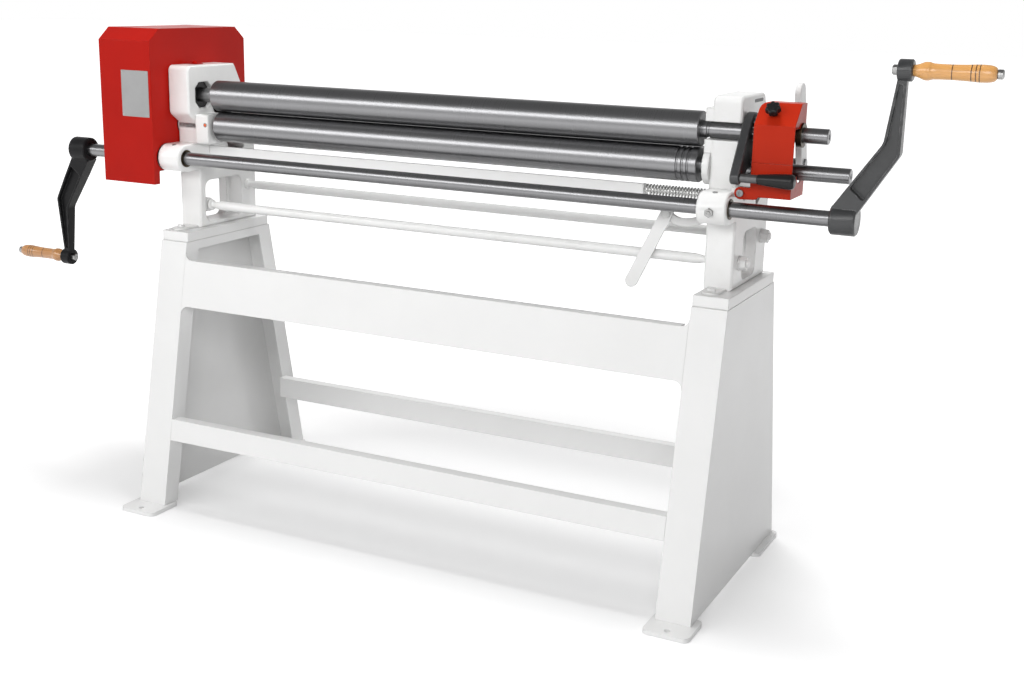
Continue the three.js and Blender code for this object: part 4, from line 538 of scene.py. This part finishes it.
def woodMaterial(name, look):
    # Varnished wood turned along X: figure and pores by noise, and burnt rings at shares of the length.
    material, tree, shader = newMaterial(name, Coat_Weight=look["coat"], Coat_Roughness=look["coatRoughness"])
    grain = placed(tree, turnedWoodGrain, Scale=look["scale"]).outputs
    figure = mixed(tree, remapped(tree, grain["Figure"], *look["figure"]), look["pale"], look["deep"])
    pored = mixed(tree, maths(tree, "MULTIPLY", grain["Pores"], look["poreShare"]), figure, look["pore"])
    uv = addNode(tree, "ShaderNodeUVMap", {"uv_map": "UVMap"}).outputs[0]
    along = addNode(tree, "ShaderNodeSeparateXYZ", Vector=uv).outputs["X"]
    burnt = 0.0
    for share in look["rings"]:
        gap = maths(tree, "ABSOLUTE", maths(tree, "SUBTRACT", along, share))
        ring = remapped(tree, gap, look["ringCore"], look["ringHalf"], 1.0, 0.0)
        burnt = maths(tree, "MAXIMUM", burnt, ring)
    tree.links.new(mixed(tree, burnt, pored, look["burnt"]), shader.inputs["Base Color"])
    rough = remapped(tree, grain["Figure"], *look["figure"], *look["roughness"])
    tree.links.new(rough, shader.inputs["Roughness"])
    figureHeight = maths(tree, "MULTIPLY", grain["Figure"], look["figureHeight"])
    bumped(tree, shader, maths(tree, "SUBTRACT", figureHeight, burnt), look["bump"], look["depth"])
    return material


gripWood = {
    "pale": (0.78, 0.40, 0.12, 1), "deep": (0.70, 0.34, 0.095, 1), "pore": (0.42, 0.18, 0.05, 1),
    "burnt": (0.055, 0.02, 0.008, 1), "scale": 55.0, "figure": (0.3, 0.7), "poreShare": 0.4,
    "rings": (0.47, 0.70, 0.755, 0.80), "ringCore": 0.004, "ringHalf": 0.008, "coat": 0.7,
    "coatRoughness": 0.08, "roughness": (0.3, 0.42), "figureHeight": 0.3, "bump": 0.4, "depth": 0.0005}
materials["grip wood"] = woodMaterial("grip wood", gripWood)
# The left grip's copy of the grip wood, darkened as painted shade for the shaded left end.
gripWoodInPaintedShade = {**gripWood, "pale": (0.52, 0.25, 0.085, 1), "deep": (0.44, 0.20, 0.065, 1)}
materials["grip wood in painted shade"] = woodMaterial("grip wood in painted shade", gripWoodInPaintedShade)
print("materials made:", len(materials))

finishes = {
    "stand paint": """right_leg left_leg right_top_cap left_top_cap right_front_foot left_front_foot
        right_rear_foot left_rear_foot apron front_stretcher rear_stretcher shift_rail shift_lever lift_lever
        right_foot_bolt left_foot_bolt""",
    "casting paint": """right_end_frame left_end_frame right_lower_bearing left_lower_bearing
        right_front_tie_nut left_front_tie_nut right_rear_tie_nut left_rear_tie_nut lever_bracket
        front_tie_rod rear_tie_rod""",
    "guard paint": "left_guard",
    "hood paint": "gear_hood lower_gear_guard",
    "crank casting": "right_crank lock_arm right_slide left_slide",
    # The left crank takes the crank casting darkened as painted shade.
    "crank casting in painted shade": "left_crank",
    "black plastic": "swivel_bearing star_knob lock_handle",
    "machined steel": """guard_bolt drive_pinion lower_drive_gear clutch_collar shift_fork lift_shaft top_roll
        lower_roll lower_roll_stub rear_roll drive_shaft""",
    "gear iron": "upper_roll_gear lower_roll_gear",
    "zinc plate": "right_handle_pin left_handle_pin lock_handle_pin",
    "spring zinc": "shift_spring",
    "bronze": "right_shaft_bush left_shaft_bush hood_bush",
    "grip wood": "right_handle",
    # The left grip takes the grip wood darkened as painted shade.
    "grip wood in painted shade": "left_handle",
}
for finish, names in finishes.items():
    for name in names.split():
        nodes[name].data.materials.clear()
        nodes[name].data.materials.append(materials[finish])
        smoothShaded(nodes[name])
print("CAD nodes finished")

alongX = (1, 0, 0)
towardsLeft = (-1, 0, 0)
towardsFront = (0, -1, 0)
towardsBack = (0, 1, 0)
upwards = (0, 0, 1)


def leftEnd(x, radius, chamfer=1):  # a chamfered left end, as profile rows
    return [(x, 0), (x, radius - chamfer), (x + chamfer, radius)]


def stubEnd(x, radius, chamfer=1.5, hole=5.0, depth=14.0, point=4):
    # A chamfered right end with a drilled centre hole, as profile rows.
    return [(x - chamfer, radius), (x, radius - chamfer), (x, hole + chamfer), (x - chamfer, hole),
            (x - depth, hole), (x - depth - point, 0)]


def wireGrooves(radius, last, pitch, depth, count):
    # Round-bottomed grooves: the radius falls by depth sqrt(1 - u^2) for u from -1 to 1 across each groove.
    groovePoints = 9
    u = np.sin(np.linspace(-pi / 2, pi / 2, groovePoints))
    middles = last - pitch * np.arange(count)[::-1, None]
    x, r = np.broadcast_arrays(middles + depth * u, radius - depth * np.sqrt(1 - u ** 2))
    return np.stack([x.ravel(), r.ravel()], axis=1).tolist()


def rollBody(left, journal, grooves=()):  # the working length from the given left end, as profile rows
    radius, chamfer, right = rollSizes["radius"], rollSizes["chamfer"], rollSizes["right"]
    return [(left, journal), (left, radius - chamfer), (left + chamfer, radius), *grooves,
            (right - chamfer, radius), (right, radius - chamfer), (right, journal)]


def stubFrom(x):  # the step down from the journal to the stub of the pinch rolls
    return [(x, rollSizes["journal"]), (x, rollSizes["stub"])]


def axisOf(node):  # where the axis of a node that lies along X crosses the middle of the rolls
    low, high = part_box(node)
    return np.array([spot(0, 0, 0)[0], (low.y + high.y) / 2, (low.z + high.z) / 2])


rollSizes = {"radius": 37.5, "chamfer": 2, "right": 635, "journal": 18, "stub": 16, "rearJournal": 16,
             "grooves": {"last": 615, "pitch": 12, "depth": 2.6, "count": 3}, "rounding": 0.5, "sides": 128}
journal, stub, rearJournal = rollSizes["journal"], rollSizes["stub"], rollSizes["rearJournal"]
grooves = wireGrooves(rollSizes["radius"], **rollSizes["grooves"])
rolls = {  # rows of X along the roll and radius, from the left end to the right end
    "topRollBar": {"stands for": ["top_roll"], "rows": [
        *leftEnd(-741, journal), *rollBody(-635, journal), (647, journal), (648, stub), (652, stub),
        (653, journal), *stubFrom(752), *stubEnd(topRollEnd, stub)]},
    "lowerRollBar": {"stands for": ["lower_roll", "lower_roll_stub"], "rows": [
        *leftEnd(-820, journal), *rollBody(-627, journal, grooves), *stubFrom(752), *stubEnd(952, stub)]},
    "rearRollBar": {"stands for": ["rear_roll"], "rows": [
        *leftEnd(-739, rearJournal), *rollBody(-635, rearJournal), (720, rearJournal), (721, rearJournal - 1),
        (721, 0)]},
}
for name, roll in rolls.items():
    bar = turnedPiece(name, axisOf(roll["stands for"][0]), alongX,
                      eased(roll["rows"], rollSizes["rounding"], steps=2), rollSizes["sides"])
    finished(bar, "ground steel", roll["stands for"][0], "ground_steel", *roll["stands for"])

driveShaft = {"from": -1042, "to": 986, "radius": 16, "chamfer": 1, "hole": 5, "holeDepth": 3,
              "rounding": 0.4, "sides": 96}
shaftEnd, shaftRadius, chamfer = driveShaft["to"], driveShaft["radius"], driveShaft["chamfer"]
shaftRows = [*leftEnd(driveShaft["from"], shaftRadius, chamfer), (shaftEnd - chamfer, shaftRadius),
             (shaftEnd, shaftRadius - chamfer), (shaftEnd, driveShaft["hole"]),
             (shaftEnd - driveShaft["holeDepth"], 0)]
shaftBar = turnedPiece("driveShaftBar", axisOf("drive_shaft"), alongX,
                       eased(shaftRows, driveShaft["rounding"], steps=2), driveShaft["sides"])
finished(shaftBar, "ground steel", "drive_shaft", "ground_steel", "drive_shaft")

tieRods = {"nodes": {"frontTieTube": "front_tie_rod", "rearTieTube": "rear_tie_rod"}, "middle": -9,
           "rounding": 1.2, "sides": 48,
           "end": [*leftEnd(-767, 8), (-680.7, 8), (-680.7, 14), (-673.7, 14), (-673.7, 8), (-665.7, 8),
                   (-656, 10.2), (-646.7, 11.5)]}
tieRows = tieRods["end"] + [(2 * tieRods["middle"] - x, r) for x, r in tieRods["end"][::-1]]
for name, node in tieRods["nodes"].items():
    tube = turnedPiece(name, axisOf(node), alongX, eased(tieRows, tieRods["rounding"], steps=3),
                       tieRods["sides"])
    finished(tube, "casting paint", "base", "stand_paint", node)
print("rolls, shaft and tie rods turned")


def axisStart(node, fromLeft):  # the middle of a node's left or right end
    low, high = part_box(node)
    return np.array([low.x if fromLeft else high.x, (low.y + high.y) / 2, (low.z + high.z) / 2])


grips = {  # rows of the distance from the crank and the share of the largest radius
    "shape": [(0, 0.62), (3, 0.645), (9, 0.74), (19, 0.97), (25, 1.0), (29, 0.985), (38, 0.86), (67, 0.83),
              (93, 0.87), (117, 0.95), (135, 0.93), (145, 0.80), (149, 0.62), (150, 0.50)],
    "radius": 17.5, "bore": 5.5, "length": 150,
    "right": {"fromLeft": True, "axis": alongX, "look": "grip wood"},
    "left": {"fromLeft": False, "axis": towardsLeft, "look": "grip wood in painted shade"},
}
gripRows = splined(np.array(grips["shape"]) * [1, grips["radius"]], steps=5)
gripRows = np.concatenate([[(0, grips["bore"])], gripRows, [(grips["length"], grips["bore"])]])
for side in ("right", "left"):
    start = axisStart(side + "_handle", grips[side]["fromLeft"])
    grip = turnedPiece(side + "Grip", start, grips[side]["axis"], gripRows, sides=80, bored=True)
    finished(grip, grips[side]["look"], side + "_handle", "varnished_wood", side + "_handle")

handlePins = {"across": 17, "headLength": 11, "shank": 5, "tipRadius": 9.3, "tipLength": 11.5}
flat = handlePins["across"] / 2
corner = flat / cos(pi / 6)
head = handlePins["headLength"]
shank = handlePins["shank"]
tipRadius = handlePins["tipRadius"]
for side in ("right", "left"):
    low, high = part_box(side + "_handle_pin")
    end = (high.x - low.x) * perMetre
    tip = end - handlePins["tipLength"]
    rows = [(0, 0, 0), (0, flat * 0.88, 0), (0.2, flat * 0.94, 0), (2.0, corner, 1), (head - 0.1, corner, 1),
            (head, corner * 0.99, 1), (head, shank, 0), (tip, shank, 0), (tip, tipRadius - 1, 0),
            (tip + 1, tipRadius, 0), (end - 2.5, tipRadius, 0), (end - 0.6, tipRadius - 1.8, 0),
            (end, tipRadius - 3.4, 0), (end, 0, 0)]
    start = axisStart(side + "_handle_pin", grips[side]["fromLeft"])
    pin = turnedPiece(side + "CrankPin", start, grips[side]["axis"], rows, sides=72, section=sixSided)
    finished(pin, "zinc plate", "drive_shaft", "zinc", side + "_handle_pin")
print("crank grips and pins turned")

lockHandle = {"pinFrom": 729.5, "spacerFrom": 748.8, "spacerTo": 784.8, "from": 785.3, "to": 861.3,
              "pinRadius": 5, "spacerRadius": 9, "bore": 5.5, "pinInside": 6, "boreInside": 5, "tipFlat": 6,
              "pinRounding": 0.8,
              "shape": [(0, 9.4), (1.2, 10.2), (8, 11.0), (24, 12.6), (42, 14.2), (58, 15.3), (66, 15.4),
                        (71, 14.6), (74.5, 12.4), (75.8, 9.5)]}
lockAxis = axisOf("lock_handle")
gripFrom, gripTo = lockHandle["from"], lockHandle["to"]
pinRadius, spacerRadius = lockHandle["pinRadius"], lockHandle["spacerRadius"]
pinEnd, boreEnd = gripTo - lockHandle["pinInside"], gripTo - lockHandle["boreInside"]
lockPinRows = [(lockHandle["pinFrom"], 0), (lockHandle["pinFrom"], pinRadius),
               (lockHandle["spacerFrom"], pinRadius), (lockHandle["spacerFrom"], spacerRadius),
               (lockHandle["spacerTo"], spacerRadius), (lockHandle["spacerTo"], pinRadius),
               (pinEnd, pinRadius), (pinEnd, 0)]
lockPinRows = eased(lockPinRows, lockHandle["pinRounding"], steps=3)
lockPin = turnedPiece("lockHandlePin", lockAxis, alongX, lockPinRows, sides=64)
finished(lockPin, "gear iron", "lock_arm", "zinc", "lock_handle_pin")
lockGripRows = np.concatenate([
    [(boreEnd, 0), (boreEnd, lockHandle["bore"]), (gripFrom, lockHandle["bore"])],
    splined(np.array(lockHandle["shape"]) + [gripFrom, 0], steps=4),
    [(gripTo, lockHandle["tipFlat"]), (gripTo, 0)]])
lockGrip = turnedPiece("lockGrip", lockAxis, alongX, lockGripRows, sides=72)
finished(lockGrip, "black plastic", "lock_handle", "black_plastic", "lock_handle")

starKnob = {"at": (795, -36.5, 1073.5), "axis": (0, -1, 1), "rows": [
    (-14, 0, 0), (-14, 3.6, 0), (-13, 4, 0), (1.3, 4, 0), (1.3, 7.4, 0), (2, 8, 0), (7.6, 8, 0),
    (8.3, 10, 0.5), (8.8, 14.2, 1), (10.2, 15.7, 1), (13, 16, 1), (19, 16, 1), (21.6, 15.5, 1),
    (23.2, 14.2, 1), (24.0, 12, 1), (24.2, 9, 0.4), (23.8, 6.6, 0), (24.2, 6.2, 0), (24.3, 3, 0),
    (24.3, 0, 0)]}
knobHead = turnedPiece("starKnobHead", spot(*starKnob["at"]), starKnob["axis"], starKnob["rows"],
                       sides=140, section=sevenLobed)
finished(knobHead, "black plastic", "star_knob", "black_plastic", "star_knob")
print("lock handle and star knob turned")

spring = {"from": 504.3, "to": 662.7, "y": 20, "z": 889, "coilRadius": 12, "wireRadius": 1.8, "turns": 21,
          "straight": 3.6, "stepsInATurn": 28, "sides": 10}


def springWire():
    # The wire's middle runs along X by the share t of the length, and round it by 2 pi times the turns made
    # so far: none while the wire is straight at either end. A circle square to the wire is carried along it,
    # set on the vector n from the spring's axis to the wire and on the wire's direction x n.
    t = np.linspace(0, 1, spring["turns"] * spring["stepsInATurn"] + 1)
    length = spring["to"] - spring["from"]
    straight = spring["straight"] / length
    turn = 2 * pi * spring["turns"] * np.clip((t - straight) / (1 - 2 * straight), 0, 1)
    n = np.stack([np.zeros_like(t), np.cos(turn), np.sin(turn)], axis=1)
    middle = spot(spring["from"], spring["y"], spring["z"]) + spring["coilRadius"] / perMetre * n
    middle[:, 0] += t * length / perMetre
    tangent = np.gradient(middle, axis=0)
    tangent /= np.linalg.norm(tangent, axis=1, keepdims=True)
    m = np.cross(tangent, n)
    w = np.arange(spring["sides"]) * 2 * pi / spring["sides"]
    circle = np.cos(w)[None, :, None] * n[:, None] + np.sin(w)[None, :, None] * m[:, None]
    points = middle[:, None] + spring["wireRadius"] / perMetre * circle
    ends = np.stack([np.arange(len(w))[::-1], (len(t) - 1) * len(w) + np.arange(len(w))])
    return meshPiece("shiftSpringWire", points, [gridFaces(len(t), len(w)), ends])


springPiece = finished(springWire(), "spring zinc", "base", "zinc", "shift_spring")
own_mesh(springPiece)
print("spring wound:", spring["turns"], "turns")

# The small fasteners' profiles start a little under the surface that they sit on.
ballOiler = [(-3, 0), (-3, 5.6), (0.5, 5.6), (1.0, 5.0), (1.0, 3.2), (0.2, 2.9), (0.3, 2.4), (0.8, 1.2),
             (0.9, 0)]
screwHead = [(-2, 0), (-2, 5), (0, 5), (0, 7.2), (0.6, 7.6), (2.2, 7.4), (4.2, 5.2), (4.8, 3.4), (4.2, 2.6),
             (4.2, 0)]
rivetHead = [(-0.4, 0), (-0.4, 1.5), (0.75, 1.5), (0.75, 2.6), (1.1, 2.5), (1.7, 1.6), (1.9, 0)]
plug = [(-2, 0), (-2, 3.9), (1.0, 3.9), (1.9, 3.2), (2.4, 1.6), (2.5, 0)]
clampBolt = [(-1, 0, 0), (-1, 3.4, 0), (0, 3.4, 0), (0, 9.7, 1), (5.4, 9.7, 1), (6.6, 9.1, 0.6), (7, 8.1, 0),
             (7, 5.4, 0), (6.4, 5.0, 0), (8.8, 4.9, 0), (9.4, 4.4, 0), (9.4, 2.6, 0), (7.6, 2.5, 0),
             (7.6, 0, 0)]
plugSpot = (-649, -37.6, 959.5)
smallPieces = {
    "rightBossOiler": {"rows": ballOiler, "at": (694.5, -79.5, 911.1), "axis": (0, -5.5, 33.5),
                       "look": "zinc plate"},
    "leftBossOiler": {"rows": ballOiler, "at": (-712, -82, 910.6), "axis": (0, -8, 33), "look": "zinc plate"},
    "rightBossScrew": {"rows": clampBolt, "at": (693, -107.7, 872.8), "axis": (0, -33.7, -4.8),
                       "look": "zinc plate", "section": sixSided},
    "bearingPlugRim": {"rows": ballOiler, "at": plugSpot, "axis": towardsFront, "look": "zinc plate"},
    "bearingPlug": {"rows": plug, "at": plugSpot, "axis": towardsFront, "look": "orange plug"},
    "guardTabScrew": {"rows": screwHead, "at": (-722, 21, 1106.4), "axis": upwards, "look": "guard paint"},
}
slotNames = {"guard paint": "guard_red", "zinc plate": "zinc", "orange plug": "bronze"}
for name, small in smallPieces.items():
    piece = turnedPiece(name, spot(*small["at"]), small["axis"], small["rows"], sides=48,
                        section=small.get("section", np.ones_like))
    finished(piece, small["look"], "base", slotNames[small["look"]])

blankPlate = {"left": -838.5, "front": -120, "bottom": 977.5, "size": (85, 113), "thickness": 0.8,
              "rounding": 1.5, "edge": 0.25, "rivetInset": 4.5}
plateCorner = spot(blankPlate["left"], blankPlate["front"], blankPlate["bottom"])
plate = platePiece("blankDataPlate", plateCorner, alongX, upwards, blankPlate["size"],
                   blankPlate["thickness"], blankPlate["rounding"], blankPlate["edge"])
finished(plate, "plate metal", "base", "zinc")
near, (wide, tall) = blankPlate["rivetInset"], blankPlate["size"]
rivetSpots = [(near, near), (wide - near, near), (near, tall - near), (wide - near, tall - near)]
for k, (across, up) in enumerate(rivetSpots):
    at = spot(blankPlate["left"] + across, blankPlate["front"], blankPlate["bottom"] + up)
    rivet = turnedPiece("plateRivet" + str(k), at, towardsFront, rivetHead, sides=24)
    finished(rivet, "zinc plate", "base", "zinc")
# A thin black plate on the right casting's outer face: painted shade for the dark inside of a slot.
slotShade = {"at": (727, 52, 1087), "size": (61, 7), "thickness": 0.4, "rounding": 3.4, "edge": 0.15}
slotShadePlate = platePiece("castingSlotShade", spot(*slotShade["at"]), towardsBack, upwards, slotShade["size"],
                  slotShade["thickness"], slotShade["rounding"], slotShade["edge"])
finished(slotShadePlate, "black plastic", "base", "black_plastic")
print("fasteners made:", len(smallPieces), "and the plate with", len(rivetSpots), "rivets")


def seenDirectly(tree, *kinds):  # 1 for rays of these kinds
    rays = addNode(tree, "ShaderNodeLightPath").outputs
    direct = rays[kinds[0]]
    for kind in kinds[1:]:
        direct = maths(tree, "MAXIMUM", direct, rays[kind])
    return direct


def floorMaterial(look):
    # Pale floor that the camera and mirror-like surfaces see as white, apart from the shadows on it: the glow
    # rises with the distance from the middle.
    material, tree, shader = newMaterial("pale floor", Roughness=look["roughness"],
                                         Specular_IOR_Level=look["specular"])
    place = addNode(tree, "ShaderNodeTexCoord").outputs["Object"]
    dust = noise(tree, place, Scale=look["dustScale"], Detail=look["dustDetail"])
    tree.links.new(mixed(tree, dust, look["colour"], look["dust"]), shader.inputs["Base Color"])
    shader.inputs["Emission Color"].default_value = (1, 1, 1, 1)
    distance = addNode(tree, "ShaderNodeVectorMath", {"operation": "LENGTH"}, i0=place).outputs["Value"]
    glow = remapped(tree, distance, look["glowFrom"], look["glowTo"], look["glow"], look["farGlow"])
    direct = seenDirectly(tree, "Is Camera Ray", "Is Glossy Ray", "Is Transmission Ray")
    tree.links.new(maths(tree, "MULTIPLY", direct, glow), shader.inputs["Emission Strength"])
    return material


floorLook = {"half": 30.0, "colour": (0.80, 0.80, 0.80, 1), "dust": (0.78, 0.78, 0.785, 1), "dustScale": 3.0,
             "dustDetail": 4.0, "roughness": 0.7, "specular": 0.2, "glow": 0.25, "farGlow": 1.0,
             "glowFrom": 0.7, "glowTo": 2.4}
half = floorLook["half"]
floorCorners = np.array([[-half, -half, 0], [half, -half, 0], [half, half, 0], [-half, half, 0]])
floor = meshPiece("floor", floorCorners, [np.array([[0, 1, 2, 3]])])
floor.data.materials.append(floorMaterial(floorLook))

# In metres, watts and degrees. The strip gives the rolls their bright line, the key shades the stand, the top
# lamp makes the shadow on the floor, and the narrow left end lamp lifts the left castings.
lamps = {
    "strip": {"at": (-1.9, -4.0, 2.6), "to": (0, 0, 0.9), "size": (4.8, 1.3), "power": 98.0, "spread": 180,
              "mirrored": True},
    "key": {"at": (1.6, -3.4, 2.3), "to": (0, 0, 0.6), "size": (1.6, 1.6), "power": 42.0, "spread": 180,
            "mirrored": True},
    "top": {"at": (0.1, 0.5, 4.6), "to": (0, 0, 0.6), "size": (1.4, 1.0), "power": 96.0, "spread": 180,
            "mirrored": False},
    "left end": {"at": (1.6, -1.3, 1.5), "to": (-0.78, -0.05, 1.02), "size": (0.5, 0.5), "power": 0.65,
                 "spread": 36, "mirrored": False},
}
for name, lamp in lamps.items():
    light = bpy.data.lights.new(name, "AREA")
    light.shape, light.energy = "RECTANGLE", lamp["power"]
    light.size, light.size_y = lamp["size"]
    light.spread = radians(lamp["spread"])
    lampObject = bpy.data.objects.new(name, light)
    lampObject.location = lamp["at"]
    lampObject.visible_glossy = lamp["mirrored"]
    aim = Vector(lamp["to"]) - Vector(lamp["at"])
    lampObject.rotation_euler = aim.to_track_quat("-Z", "Y").to_euler()
    bpy.context.scene.collection.objects.link(lampObject)
print("lamps hung:", len(lamps))

# The world is white for the camera. Mirror-like surfaces see it darken with height, and all else gets plain
# light.
studio = {"plain": 0.27, "ceiling": 0.3, "ceilingFrom": 0.15, "ceilingTo": 0.7}
world = bpy.data.worlds.new("studio")
bpy.context.scene.world = world
world.use_nodes = True
worldTree = world.node_tree
background = worldTree.nodes["Background"]
background.inputs["Color"].default_value = (1, 1, 1, 1)
direction = addNode(worldTree, "ShaderNodeTexCoord").outputs["Generated"]
height = addNode(worldTree, "ShaderNodeSeparateXYZ", Vector=direction).outputs["Z"]
mirrored = remapped(worldTree, height, studio["ceilingFrom"], studio["ceilingTo"], 1.0, studio["ceiling"])
glossy = seenDirectly(worldTree, "Is Glossy Ray")
direct = seenDirectly(worldTree, "Is Camera Ray", "Is Transmission Ray")
unseen = addNode(worldTree, "ShaderNodeMix", {"data_type": "FLOAT"}, i0=glossy, i2=studio["plain"],
                 i3=mirrored).outputs[0]
strength = addNode(worldTree, "ShaderNodeMix", {"data_type": "FLOAT"}, i0=direct, i2=unseen, i3=1.0)
worldTree.links.new(strength.outputs[0], background.inputs["Strength"])

view = {"place": (1.5893, -2.8281, 1.3110), "yaw": 26.14, "pitch": 14.53, "roll": 1.326, "focal": 1369.0,
        "width": 1024.0, "sensor": 36.0}  # focal length and width in pixels of the photograph


def cameraMatrix():
    # Forward is turned from +Y by the yaw towards -X and down by the pitch, and the roll turns right and up
    # about it.
    yaw, pitch, roll = (radians(view[key]) for key in ("yaw", "pitch", "roll"))
    forward = np.array([-sin(yaw) * cos(pitch), cos(yaw) * cos(pitch), -sin(pitch)])
    right = unit(np.cross(forward, [0, 0, 1]))
    up = np.cross(right, forward)
    columns = np.stack([cos(roll) * right + sin(roll) * up, cos(roll) * up - sin(roll) * right, -forward],
                       axis=1)
    return Matrix.Translation(view["place"]) @ Matrix(columns.tolist()).to_4x4()


camera = bpy.data.objects.new("camera", bpy.data.cameras.new("camera"))
camera.data.sensor_width = view["sensor"]
camera.data.lens = view["sensor"] * view["focal"] / view["width"]
camera.matrix_world = cameraMatrix()
bpy.context.scene.collection.objects.link(camera)
bpy.context.scene.camera = camera
bpy.context.scene.view_settings.view_transform = "Standard"
print("stage set")
